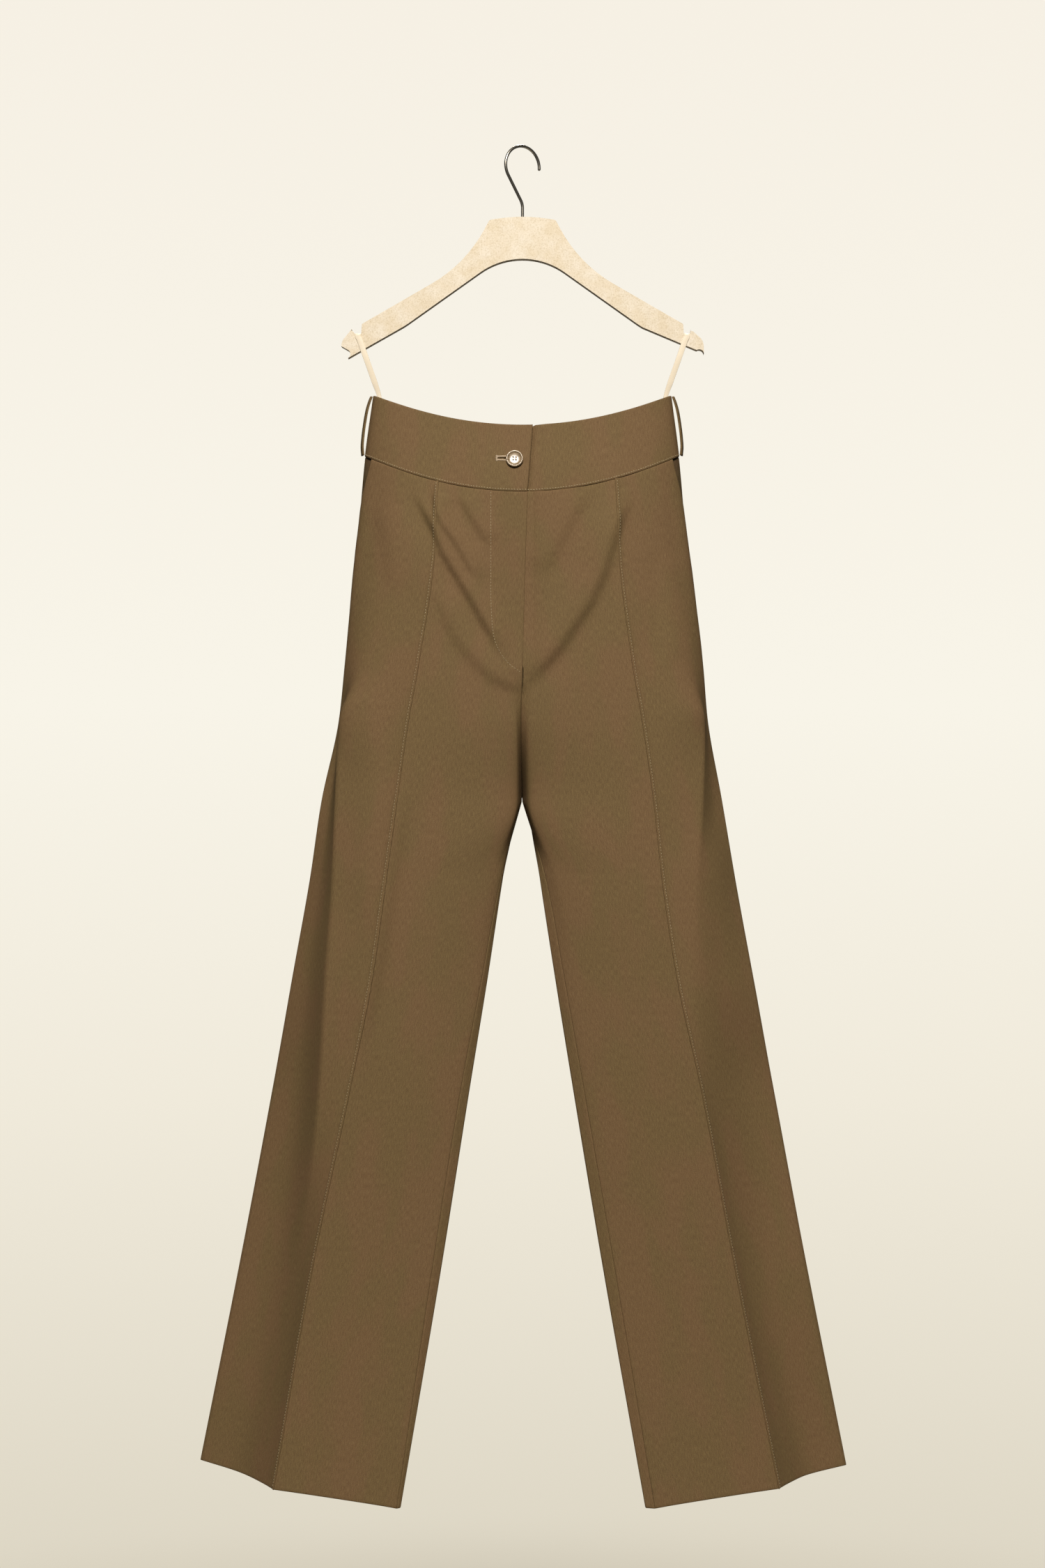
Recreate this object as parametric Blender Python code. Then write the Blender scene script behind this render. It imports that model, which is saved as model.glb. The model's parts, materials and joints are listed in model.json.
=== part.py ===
"""High-waisted tailored trousers, hung by two ribbon loops from a flat hanger.

Frame: metres, +Z up.  The front faces -Y and +X is the viewer's right.  The origin is
the inner crown of the hanger's hook, where it bears on a rail.  Left and right mean
the viewer's.  Sizes below are in millimetres, and a "drop" is a depth below the origin.
"""
import math
from collections import namedtuple

import bmesh
import bpy
import numpy as np
from mathutils import Vector

MM = 0.001
LEFT, RIGHT = -1, 1

# ---- cloth ------------------------------------------------------------------------
CLOTH = 1.2            # wall of one panel
SEAM_GAP = 0.3         # between two pieces at a seam, and between layers
INSEAM_GAP = 0.6                        # the back stays this far from the inner line
BAND_WALL = 2.0        # waistband: two layers and an interlining
BAND_PROUD = 0.4       # the waistband stands this far out of the panels
TUCK_HEIGHT = 1.6      # stitched front crease, a ridge
TUCK_FOOT = 2.5        # half of its width where it meets the panel

# ---- fly, waistband ends and pockets ----------------------------------------------
FLY_TOP, FLY_FOOT = 372.0, 566.0       # drops of the open fly edge
FLY_OVER = 5.2                         # its edge stands this far past the centre on top
FLY_UNDER = 12.0                       # how far the right front runs under it
FLY_UNDER_END = 530.0                  # drop where that begins to narrow
BAND_OVER_TOP, BAND_OVER_FOOT = 11.0, 5.2   # waistband overlap past the centre
BAND_UNDER = 20.0                      # waistband underlap, on the other side of it
POCKET_MOUTH = 16.0                    # pocket edge to side seam at the waistband
POCKET_FOOT = 557.0                    # drop where the mouth closes on the side seam
FACING_HIDDEN = 22.0                   # facing under the pocket edge
FACING_SLACK = 0.7                     # the facing hangs this much free behind the front
FACING_FOOT = 495.0

# ---- the sections -----------------------------------------------------------------
# Each half of the garment is one ring of twelve lines.  They start at the centre
# front, which is the inseam below the fork, and run out over the front to the side
# seam and back along the back: inner, turn, crease, crest, valley, edge, seam, outer,
# back crease, back inner, hollow, back centre.
#
# LEVELS gives what both halves share.  drop_in and drop_out are the drops at the inner
# line and at the side, bend is the power of the curve between them, and every y is a
# depth from the hanger's middle plane, minus to the front.
Level = namedtuple("Level", "name drop drop_in drop_out bend inner_y turn_y crease_y"
                            " seam_in seam_y outer outer_y bcrease bcrease_y"
                            " binner binner_y hollow_y centre_y")
LEVELS = (
    Level("band top",  284, 302, 267, 2.0, -35, -34.7, -29.4, -2.5,  0,
          125, 22,  84, 29.8,  40, 33.9, 34.9, 35),
    Level("waist",     354, 374.5, 333, 2.0, -48, -47.6, -40, -2.5,  0,
          132, 30,  92, 40.3,  45, 46.3, 47.8, 48),
    Level("pocket",    441, 441, 441, 1.5, -50, -50,   -50,    1.5, 14,
          150, 40,  96, 54,  48, 58, 60, 60),
    Level("hip",       557, 557, 557, 1.0, -50, -50.5, -52,    5.0, 26,
          160, 54, 104, 70,  52, 73, 71, 67),
    Level("crotch",    616, 616, 616, 1.0, -40, -47,   -53,    4.5, 28,
          166, 60, 110, 76,  56, 76, 66, 58),
    Level("fork",      703, 703, 703, 1.0,  14, -32,   -54,    5.5, 28,
          178, 62, 115, 80,  58, 74, 44, 14),
    Level("thigh",     786, 786, 786, 1.0, -27, -35,   -54,    6.5, 32,
          190, 66, 130, 84,  76, 70, -22, -27),
    Level("low thigh", 891, 891, 891, 1.0, -27, -32,   -52,    7.0, 38,
          208, 68, 148, 86,  94, 66, -21, -27),
    Level("knee",     1011, 1011, 1011, 1.0, -25, -28, -49,    7.5, 50,
          230, 71, 168, 88, 114, 62, -19, -25),
    Level("shin",     1191, 1191, 1191, 1.0, -20, -22, -42,    8.0, 59,
          262, 76, 200, 92, 144, 56, -15, -20),
    Level("hem",      1443, 1462.4, 1423, 0.9, -11, -13, -30,   9.0, 66,
          305, 82, 245, 95, 190, 52, -8, -11),
)
FORK = 5                                # row of the fork in the tables

# Distances out from the centre plane, which differ between the halves, and the depths
# of the long fold below the pocket.  hollow is the leg's inner outline.
Half = namedtuple("Half", "inner turn crease crest valley edge hollow"
                          " crest_y valley_y edge_y")
HALVES = {
    LEFT: (
        Half(0,     20,   84,    120,   140,   158,   15,  -23.2, -17.1, -6),
        Half(0,     22,   90,    128,   148,   167,   15,  -31.5, -23.4, -8),
        Half(0,     22,   94,    138,   162,   180.5, 15,  -38,   -26,   -8),
        Half(0,     20,  110.5,  168,   184,   191,   14,  -36,   -22,   -8),
        Half(1.5,   8,   121,    195.5, 193,   197.5, 10,  -29,   -12,    0),
        Half(0.5,   5.5, 133.5,  199.5, 205,   216.5,  7,  -32,   -14,   -4),
        Half(22.9, 36,   145,    202,   215,   229.5, 21,  -35,   -10,    4),
        Half(43,   56,   160,    209,   229,   249,   37,  -38,    -4,   13),
        Half(65.7, 74,   184,    216,   239,   271.5, 56.5, -36,    2,   29),
        Half(94.5, 103,  222,    238,   263,   306,   85,  -20,     9,   36),
        Half(134.8, 143, 266,    278,   306,   353,  131,  -12,    20,   48),
    ),
    RIGHT: (
        Half(0,     20,   88,    122,   141,   157.5, 15,  -22.6, -16.5, -6),
        Half(0,     22,   99,    132,   149,   166,   15,  -29.8, -22.4, -8),
        Half(0,     22,  103,    140,   161,   180,   15,  -37,   -26,   -8),
        Half(0,     20,  117,    170,   187,   194,   14,  -36,   -22,   -8),
        Half(-1.5,  8,   127,    194.5, 196,   199.5, 10,  -30,   -16,    0),
        Half(-0.5,  6.7, 139.5,  192,   203,   215,    7,  -36,   -17,   -4),
        Half(24.7, 38,   148.5,  186,   208,   229,   18.5, -45,  -29,   -6),
        Half(44.2, 57,   164.5,  184,   216,   248.5, 34.6, -47,  -28,   -5),
        Half(65.4, 74,   190.5,  203,   238,   271.5, 54,  -37,    -8,   12),
        Half(96.4, 105,  224.6,  236,   256,   305,   84,  -28,   -12,    8),
        Half(142,  150,  274,    288,   308,   352,  132,  -11,     9,   23),
    ),
}
INNER, TURN, CREASE, CREST, VALLEY, EDGE, SEAM, OUTER, BCREASE, BINNER, HOLLOW, CENTRE = range(12)

# Drops between which the crest is a corner: it sharpens, is crisp, softens and is gone.
CREST_CORNER = {LEFT: (610, 690, 1050, 1230), RIGHT: (600, 680, 720, 900)}

# Soft drag folds on the front: a trough from one end to the other, in viewer's x.
Fold = namedtuple("Fold", "x0 drop0 x1 drop1 width depth")
FOLDS = (
    Fold(-90, 398, -32, 528, 10, 3.0),
    Fold(-125, 356, -97, 412, 9, 2.0),
    Fold(103, 408, 12, 580, 11, 2.6),
)

# ---- hanger, from its outline in front view ---------------------------------------
HANGER_THICK = 12.0
HANGER_EDGE = 1.6                       # rounded edge
# Half of the outline from the top of the neck, out to the tip and back under the arm:
# distance out, drop, and the radius that rounds the corner.
HANGER_OUTLINE = (
    (0, 73, 180), (35.5, 78.8, 4), (60.8, 126, 150), (172.6, 190.6, 2),
    (173.4, 201.8, 0.8), (180.0, 201.8, 0.8), (181.4, 193.5, 1.5), (194.6, 209.5, 14),
    (195.2, 231.5, 5), (126, 192.3, 80), (0, 102.9, 78),
)
NOTCH_FLOOR = 201.8
NOTCH_MIDDLE = 176.7
WIRE = 3.2                              # hook wire
HOOK_RADIUS = 21.5                      # of its middle line
HOOK_LEAN = 32.0                        # degrees the neck of the hook leans
HOOK_TURN = 33.0                        # degrees the hook is swivelled about the vertical
HOOK_NECK_BEND = 16.0                   # radius of the bend over the stem
HOOK_IN_HANGER = 18.0                   # depth of its bore
NECK_TOP = 73.6

RIBBON_WIDTH, RIBBON_FOOT_WIDTH, RIBBON_WALL = 6.0, 4.6, 0.8
LOOP_WIDTH, LOOP_WALL, LOOP_TURN = 10.0, 1.8, 14.0

BUTTON_WIDE, BUTTON_THICK = 18.5, 3.4
BUTTON_X, BUTTON_DROP = -8.4, 339.8
BUTTON_HOLE, BUTTON_HOLE_RING = 2.0, 2.1    # hole width, and its distance from the middle

# ---- colours ----------------------------------------------------------------------
TWILL, TWILL_DARK, HORN = "6b5a3c", "5a4b33", "7a7263"
CREAM, SATIN, STEEL = "ead9bf", "efe9dc", "b4aca0"


# ---- smooth curves ----------------------------------------------------------------
def slopes(knots, values):
    """Slopes of a smooth curve that never swings past its values."""
    step = np.diff(knots)[:, None]
    rise = np.diff(values, axis=0) / step
    before, after = rise[:-1], rise[1:]
    w1, w2 = 2 * step[1:] + step[:-1], step[1:] + 2 * step[:-1]
    agree = before * after > 0
    safe_before, safe_after = np.where(agree, before, 1), np.where(agree, after, 1)
    middle = np.where(agree, (w1 + w2) / (w1 / safe_before + w2 / safe_after), 0)
    return np.vstack([rise[:1], middle, rise[-1:]])


def smooth(knots, values, at, corners=0.0):
    """The curve through (knots, values) at the given places.

    corners gives the knots their shares of a corner: 0 runs smoothly through, and at 1
    both sides meet at a crisp angle.
    """
    knots, values = np.asarray(knots, float), np.asarray(values, float)
    at = np.atleast_1d(np.asarray(at, float))
    corners = np.broadcast_to(corners, len(knots))[:, None]
    slope, chord = slopes(knots, values), np.diff(values, axis=0) / np.diff(knots)[:, None]
    leaving = slope[:-1] + corners[:-1] * (chord - slope[:-1])
    coming = slope[1:] + corners[1:] * (chord - slope[1:])
    k = np.clip(np.searchsorted(knots, at, side="right") - 1, 0, len(knots) - 2)
    step = (knots[k + 1] - knots[k])[:, None]
    t = (at - knots[k])[:, None] / step
    return ((1 + 2 * t) * (1 - t) ** 2 * values[k] + t * (1 - t) ** 2 * step * leaving[k]
            + t * t * (3 - 2 * t) * values[k + 1] + t * t * (t - 1) * step * coming[k])


def ease(value, start, stop):
    """0 before start, 1 after stop, and a smooth ramp between."""
    t = np.clip((np.asarray(value, float) - start) / (stop - start), 0, 1)
    return t * t * (3 - 2 * t)


# ---- sections of the garment ------------------------------------------------------
DROPS = np.array([level.drop for level in LEVELS], float)
FORK_DROP = DROPS[FORK]


def ring_table(side):
    """Places of the twelve lines at each level, as (levels, 12, 2) of out and depth."""
    rows = []
    for level, half in zip(LEVELS, HALVES[side]):
        rows.append((
            (half.inner, level.inner_y), (half.turn, level.turn_y),
            (half.crease, level.crease_y), (half.crest, half.crest_y),
            (half.valley, half.valley_y), (half.edge, half.edge_y),
            (half.edge - level.seam_in, level.seam_y), (level.outer, level.outer_y),
            (level.bcrease, level.bcrease_y), (level.binner, level.binner_y),
            (half.hollow, level.hollow_y), (half.inner, level.centre_y)))
    return np.array(rows, float)


RINGS = {side: ring_table(side) for side in (LEFT, RIGHT)}
SLANTS = np.array([(level.drop_in, level.drop_out, level.bend) for level in LEVELS], float)


def fold_depth(x, drop):
    """How far the drag folds press the front in at these places."""
    depth = np.zeros_like(x)
    for fold in FOLDS:
        start = np.array((fold.x0, fold.drop0))
        run = np.array((fold.x1, fold.drop1)) - start
        along = ((x - start[0]) * run[0] + (drop - start[1]) * run[1]) / run.dot(run)
        held = np.clip(along, 0, 1)
        away = np.hypot(x - start[0] - held * run[0], drop - start[1] - held * run[1])
        taper = ease(held, 0, 0.35) * (1 - ease(held, 0.65, 1))
        depth += fold.depth * taper * np.exp(-(away / fold.width) ** 2)
    return depth


class Section:
    """One half of the garment at one level: a curve by distance from the inner line."""

    def __init__(self, side, drop, creased=True):
        self.side, self.drop = side, drop
        table = RINGS[side]
        points = smooth(DROPS, table.reshape(len(DROPS), -1), drop)[0].reshape(-1, 2)
        part = slice(0, FORK + 1) if drop <= FORK_DROP else slice(FORK, None)
        for line in (INNER, CENTRE):
            points[line] = smooth(DROPS[part], table[part, line], drop)[0]
        self.points = points
        self.knots = np.r_[0, np.cumsum(np.linalg.norm(np.diff(points, axis=0), axis=1))]
        self.length = self.knots[-1]
        self.drop_in, self.drop_out, self.bend = smooth(DROPS, SLANTS, drop)[0]
        self.closed = drop >= FORK_DROP
        self.creased = creased
        rise, crisp, soft, gone = CREST_CORNER[side]
        self.corners = np.zeros(len(points))
        self.corners[CREST] = ease(drop, rise, crisp) * (1 - ease(drop, soft, gone))
        self.corners[EDGE] = ease(drop, DROPS[FORK - 1], FORK_DROP)
        self.corners[HOLLOW] = ease(drop, FORK_DROP, DROPS[FORK + 1])

    def flat(self, along):
        """Out and depth at distances from the inner line, round to the back."""
        along = np.atleast_1d(np.asarray(along, float))
        knots, points = self.knots, self.points
        if not self.creased:
            return smooth(knots, points, along)
        side = slice(CREASE, BCREASE + 1)
        out = smooth(knots[side], points[side], along, self.corners[side])
        front, back = along < knots[CREASE], along > knots[BCREASE]
        if self.closed:
            round_knots = np.r_[knots[BCREASE:], self.length + knots[TURN:CREASE + 1]]
            round_points = np.vstack([points[BCREASE:], points[TURN:CREASE + 1]])
            bends = np.r_[self.corners[BCREASE:], self.corners[TURN:CREASE + 1]]
            out[front] = smooth(round_knots, round_points, along[front] + self.length, bends)
            out[back] = smooth(round_knots, round_points, along[back], bends)
        else:
            out[front] = smooth(knots[:CREASE + 1], points[:CREASE + 1], along[front])
            out[back] = smooth(knots[BCREASE:], points[BCREASE:], along[back])
        return out

    def at(self, along):
        """Points in space, in millimetres."""
        along = np.atleast_1d(np.asarray(along, float))
        flat = self.flat(along)
        far = max(self.points[EDGE][0], self.points[SEAM][0])
        inner = self.points[INNER][0]
        share = np.maximum((flat[:, 0] - inner) / (far - inner), 0)
        drop = self.drop_in + (self.drop_out - self.drop_in) * share ** self.bend
        x = self.side * flat[:, 0]
        pressed = np.where(along < self.knots[SEAM], fold_depth(x, drop), 0)
        return np.column_stack([x, flat[:, 1] + pressed, -drop])


class Row:
    """Both halves at one level.  A distance below zero lies past the centre front."""

    def __init__(self, side, drop, creased=True):
        self.own = Section(side, drop, creased)
        self.other = Section(-side, drop, creased)
        self.knots, self.drop, self.side = self.own.knots, drop, side

    def at(self, along):
        along = np.atleast_1d(np.asarray(along, float))
        if self.own.closed:
            return self.own.at(np.mod(along, self.own.length))
        points = self.own.at(np.clip(along, 0, self.own.length))
        past = along < 0
        if past.any():
            points[past] = self.other.at(-along[past])
        return points


def surface(side, drops, places, creased=True):
    """Points and outward normals on a grid: places(row) gives the distances in a row."""
    nudge = 0.4
    points, across = [], []
    for drop in drops:
        row = Row(side, drop, creased)
        along = places(row)
        points.append(row.at(along))
        across.append(row.at(along + nudge) - row.at(along - nudge))
    points, across = np.array(points), np.array(across)
    down = np.gradient(points, axis=0)
    normal = np.cross(down, across) * side
    normal /= np.linalg.norm(normal, axis=2, keepdims=True)
    return points, normal


# ---- mesh helpers -----------------------------------------------------------------
def finish(name, mesh, stuff, smooth_angle=35):
    """Link a mesh as a named object with its material."""
    body = bpy.data.objects.new(name, mesh)
    bpy.context.collection.objects.link(body)
    mesh.materials.append(stuff)
    mesh.shade_smooth()
    mesh.set_sharp_from_angle(angle=math.radians(smooth_angle))
    return body


def solid(name, verts, faces, stuff):
    """A closed body from points in millimetres, with its faces turned outwards."""
    mesh = bpy.data.meshes.new(name)
    work = bmesh.new()
    made = [work.verts.new(Vector(v) * MM) for v in verts]
    for face in faces:
        work.faces.new([made[i] for i in face])
    bmesh.ops.recalc_face_normals(work, faces=work.faces)
    work.to_mesh(mesh)
    work.free()
    return finish(name, mesh, stuff)


def wall(name, outer, inner, stuff):
    """A wall between two grids of points of the same size."""
    rows, columns = outer.shape[:2]
    verts = np.vstack([outer.reshape(-1, 3), inner.reshape(-1, 3)])
    back = rows * columns

    def at(j, i):
        return j * columns + i

    faces = []
    for j in range(rows - 1):
        for i in range(columns - 1):
            quad = (at(j, i), at(j + 1, i), at(j + 1, i + 1), at(j, i + 1))
            faces.append(quad)
            faces.append(tuple(back + v for v in reversed(quad)))
    rim = [at(j, 0) for j in range(rows)]
    rim += [at(rows - 1, i) for i in range(1, columns)]
    rim += [at(j, columns - 1) for j in range(rows - 2, -1, -1)]
    rim += [at(0, i) for i in range(columns - 2, 0, -1)]
    for a, b in zip(rim, rim[1:] + rim[:1]):
        faces.append((a, back + a, back + b, b))
    return solid(name, verts, faces, stuff)


def between(keys, counts):
    """Distances that pass through the keys, with so many steps from each to the next."""
    places = [keys[0]]
    for start, stop, count in zip(keys, keys[1:], counts):
        places.extend(start + (stop - start) * (step + 1) / count for step in range(count))
    return np.array(places)


def strap(name, middle, widths, thick, across, stuff):
    """A flat strap along a path, with its width as near to the way across as it goes."""
    middle = np.array(middle, float)
    tangents = np.gradient(middle, axis=0)
    verts = []
    for i, (place, tangent) in enumerate(zip(middle, tangents)):
        tangent = tangent / np.linalg.norm(tangent)
        wide = across - across.dot(tangent) * tangent
        wide /= np.linalg.norm(wide)
        deep = np.cross(tangent, wide)
        for a, b in ((1, 1), (-1, 1), (-1, -1), (1, -1)):
            verts.append(place + wide * a * widths[i] / 2 + deep * b * thick / 2)
    last = len(verts) - 4
    faces = [(0, 1, 2, 3), (last + 3, last + 2, last + 1, last)]
    for start in range(0, last, 4):
        for k in range(4):
            n = (k + 1) % 4
            faces.append((start + k, start + 4 + k, start + 4 + n, start + n))
    return solid(name, verts, faces, stuff)


def material(name, colour, roughness, metallic=0.0):
    """A plain material from an sRGB colour."""
    def linear(pair):
        value = int(pair, 16) / 255
        return value / 12.92 if value <= 0.04045 else ((value + 0.055) / 1.055) ** 2.4

    made = bpy.data.materials.new(name)
    made.use_nodes = True
    shader = made.node_tree.nodes["Principled BSDF"]
    rgb = [linear(colour[i:i + 2]) for i in (0, 2, 4)]
    shader.inputs["Base Color"].default_value = (*rgb, 1)
    shader.inputs["Roughness"].default_value = roughness
    shader.inputs["Metallic"].default_value = metallic
    made.diffuse_color = (*rgb, 1)
    return made


# ---- cloth pieces -----------------------------------------------------------------
def panel_drops():
    """Rows of a panel from the waist seam to the hem, one of them on the fork."""
    top = DROPS[1] + SEAM_GAP / 2
    return between((top, DROPS[4], FORK_DROP, DROPS[7], DROPS[-1]), (10, 5, 5, 12))


def fly_edge(drop):
    """Where the left front's open edge stands, past the centre if below zero."""
    rise = (FLY_FOOT - drop) / (FLY_FOOT - FLY_TOP)
    return SEAM_GAP / 2 - FLY_OVER * max(rise, 0)


def front_start(side, drop):
    """Distance of a front's inner edge from the centre front, along the cloth."""
    if side == LEFT:
        return fly_edge(drop)
    under = FLY_UNDER * float(1 - ease(drop, FLY_UNDER_END, FLY_FOOT))
    return SEAM_GAP - fly_edge(drop) - under


def pocket_width(drop):
    """Pocket edge to side seam, nothing below the pocket's foot."""
    return POCKET_MOUTH * max(0, (POCKET_FOOT - drop) / (POCKET_FOOT - DROPS[1]))


def front_places(row):
    """Distances of a front's columns, from its inner edge to the pocket or side seam."""
    k = row.knots
    start = front_start(row.side, row.drop)
    keys = (start, k[TURN], k[CREASE] - TUCK_FOOT, k[CREASE], k[CREASE] + TUCK_FOOT,
            k[CREST], k[VALLEY], k[EDGE], k[SEAM])
    places = between(keys, (2, 4, 1, 1, 3, 2, 4, 3))
    stop = k[SEAM] - SEAM_GAP / 2 - pocket_width(row.drop)
    past = places > k[VALLEY]
    shrink = (stop - k[VALLEY]) / (k[SEAM] - k[VALLEY])
    places[past] = k[VALLEY] + (places[past] - k[VALLEY]) * shrink
    return places


TUCK_COLUMN = 7                         # the crease in front_places


def front(side, name, cloth):
    """A front: centre front and inseam to the pocket edge and side seam."""
    drops = panel_drops()
    points, normal = surface(side, drops, front_places)
    raised = np.zeros(points.shape[:2])
    raised[:, TUCK_COLUMN] = TUCK_HEIGHT
    sunk = np.zeros(points.shape[:2])
    if side == RIGHT:
        for j, drop in enumerate(drops):
            along = front_places(Row(side, drop))
            near = 1 - ease(along, FLY_OVER + 2, FLY_OVER + 18)
            sunk[j] = (CLOTH + SEAM_GAP) * near * (1 - ease(drop, FLY_FOOT, FLY_FOOT + 34))
    outer = points + normal * (raised - sunk)[..., None]
    inner = points - normal * (CLOTH + sunk)[..., None]
    return wall(name, outer, inner, cloth)


def back_places(row):
    """Distances of a back's columns, from the side seam to the centre back or inseam."""
    k = row.knots
    inseam = INSEAM_GAP if row.drop > FORK_DROP else SEAM_GAP / 2
    keys = (k[SEAM] + SEAM_GAP / 2, k[OUTER], k[BCREASE], k[BINNER], k[HOLLOW],
            k[CENTRE] - inseam)
    return between(keys, (3, 3, 3, 3, 3))


def back(side, name, cloth):
    """A back: side seam to the centre back seam and inseam."""
    points, normal = surface(side, panel_drops(), back_places)
    return wall(name, points, points - normal * CLOTH, cloth)


def pocket_facing(side, name, cloth):
    """The facing behind a slant pocket's mouth."""
    drops = np.linspace(DROPS[1] + SEAM_GAP / 2, FACING_FOOT, 8)

    def places(row):
        seam, width = row.knots[SEAM], pocket_width(row.drop)
        edge = seam - width
        return between((edge - FACING_HIDDEN, edge, seam - SEAM_GAP / 2), (5, 4))

    points, normal = surface(side, drops, places)
    sunk = []
    for drop in drops:
        row = Row(side, drop)
        from_seam = row.knots[SEAM] - places(row)
        behind = CLOTH + SEAM_GAP + FACING_SLACK
        sunk.append(behind * ease(from_seam, 0, 0.8 * pocket_width(drop)))
    sunk = np.array(sunk)[..., None]
    return wall(name, points - normal * sunk, points - normal * (sunk + CLOTH), cloth)


def band_drops():
    return np.linspace(DROPS[0], DROPS[1] - SEAM_GAP / 2, 5)


def waistband_front(side, name, cloth):
    """A waistband front.  The left one laps over, and the right one dips under it."""
    def places(row):
        k = row.knots
        share = (row.drop - DROPS[0]) / (DROPS[1] - DROPS[0])
        over = BAND_OVER_TOP + (BAND_OVER_FOOT - BAND_OVER_TOP) * share
        start = -over if side == LEFT else -BAND_UNDER
        keys = (start, 0, BAND_OVER_TOP, k[CREASE], k[VALLEY], k[EDGE], k[SEAM] - SEAM_GAP / 2)
        return between(keys, (2, 2, 5, 3, 2, 2))

    drops = band_drops()
    points, normal = surface(side, drops, places, creased=False)
    sunk = np.zeros(points.shape[:2])
    if side == RIGHT:
        for j, drop in enumerate(drops):
            along = places(Row(side, drop, creased=False))
            near = 1 - ease(along, BAND_OVER_TOP + 1.5, BAND_OVER_TOP + 16)
            sunk[j] = (BAND_WALL + SEAM_GAP) * near
    outer = points + normal * (BAND_PROUD - sunk)[..., None]
    inner = points + normal * (BAND_PROUD - BAND_WALL - sunk)[..., None]
    return wall(name, outer, inner, cloth)


def waistband_back(name, cloth):
    """The back waistband, one piece from side seam to side seam."""
    def places(row):
        k = row.knots
        keys = (k[SEAM] + SEAM_GAP / 2, k[OUTER], k[BCREASE], k[HOLLOW], k[CENTRE])
        return between(keys, (5, 3, 4, 1))

    halves = [surface(side, band_drops(), places, creased=False) for side in (LEFT, RIGHT)]
    points = np.concatenate([halves[0][0], halves[1][0][:, -2::-1]], axis=1)
    normal = np.concatenate([halves[0][1], halves[1][1][:, -2::-1]], axis=1)
    outer = points + normal * BAND_PROUD
    inner = points + normal * (BAND_PROUD - BAND_WALL)
    return wall(name, outer, inner, cloth)


# Belt loop on a side seam: how far it stands out of the seam line, and its drop.
LOOP_PATH = ((1.9, 268.2), (3.4, 274), (4.8, 284), (5.3, 297), (5.2, 311), (4.5, 322),
             (2.6, 331.5))
LOOP_FORWARD = 1.5                      # the loops stand this far to the front


def belt_loop(side, name, cloth):
    """A belt loop that bows out over the side seam of the waistband."""
    top, foot = (Section(side, DROPS[i], creased=False).points[SEAM][0] for i in (0, 1))
    share = [(drop - LEVELS[0].drop_out) / (LEVELS[1].drop_out - LEVELS[0].drop_out)
             for _, drop in LOOP_PATH]
    middle = [(side * (top + (foot - top) * s + out), -LOOP_FORWARD, -drop)
              for s, (out, drop) in zip(share, LOOP_PATH)]
    turn = math.radians(LOOP_TURN)
    across = np.array((side * math.sin(turn), math.cos(turn), 0))
    return strap(name, middle, [LOOP_WIDTH] * len(middle), LOOP_WALL, across, cloth)


# Half of a ribbon loop, from its foot inside the waistband up to the hanger's face:
# distance out, depth and drop.  The last ones lie on the hanger.
RIBBON_FACE = HANGER_THICK / 2 + SEAM_GAP + RIBBON_WALL / 2
RIBBON_FLOOR = NOTCH_FLOOR - SEAM_GAP - RIBBON_WALL / 2
RIBBON_RISE = ((151.0, 2.6, 287), (154.4, 3.0, 267), (159.4, 4.6, 252),
               (169.6, RIBBON_FACE, 223), (174.6, RIBBON_FACE, 208.5),
               (NOTCH_MIDDLE, RIBBON_FACE, 203.4))
RIBBON_BEND = ((0, 0.8), (0.2, 0.2), (0.8, 0), (2.2, 0))    # round the notch's edge


def ribbon_loop(side, name, satin):
    """A ribbon from inside the waistband's side, over the hanger's notch and back down."""
    half = list(RIBBON_RISE)
    half += [(NOTCH_MIDDLE, RIBBON_FACE - back, RIBBON_FLOOR + down)
             for back, down in RIBBON_BEND]
    widths = [RIBBON_FOOT_WIDTH] * 2 + [RIBBON_WIDTH] * (len(half) - 2)
    path = [(side * out, -depth, -drop) for out, depth, drop in half]
    path += [(side * out, depth, -drop) for out, depth, drop in reversed(half)]
    return strap(name, path, widths + widths[::-1], RIBBON_WALL, np.array((1.0, 0, 0)), satin)


# ---- button -----------------------------------------------------------------------
# Half of the button's outline: distance from its axis and height over its back.
BUTTON_OUTLINE = ((0, 0), (0.30, 0), (0.44, 0.18), (0.5, 0.52), (0.49, 0.80), (0.44, 1.0),
                  (0.38, 0.94), (0.32, 0.60), (0.20, 0.52), (0, 0.52))
BUTTON_SIDES = 28
BUTTON_SHANK = 0.4                      # the thread holds it this far off the cloth
DRILL_SIDES = 10


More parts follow.
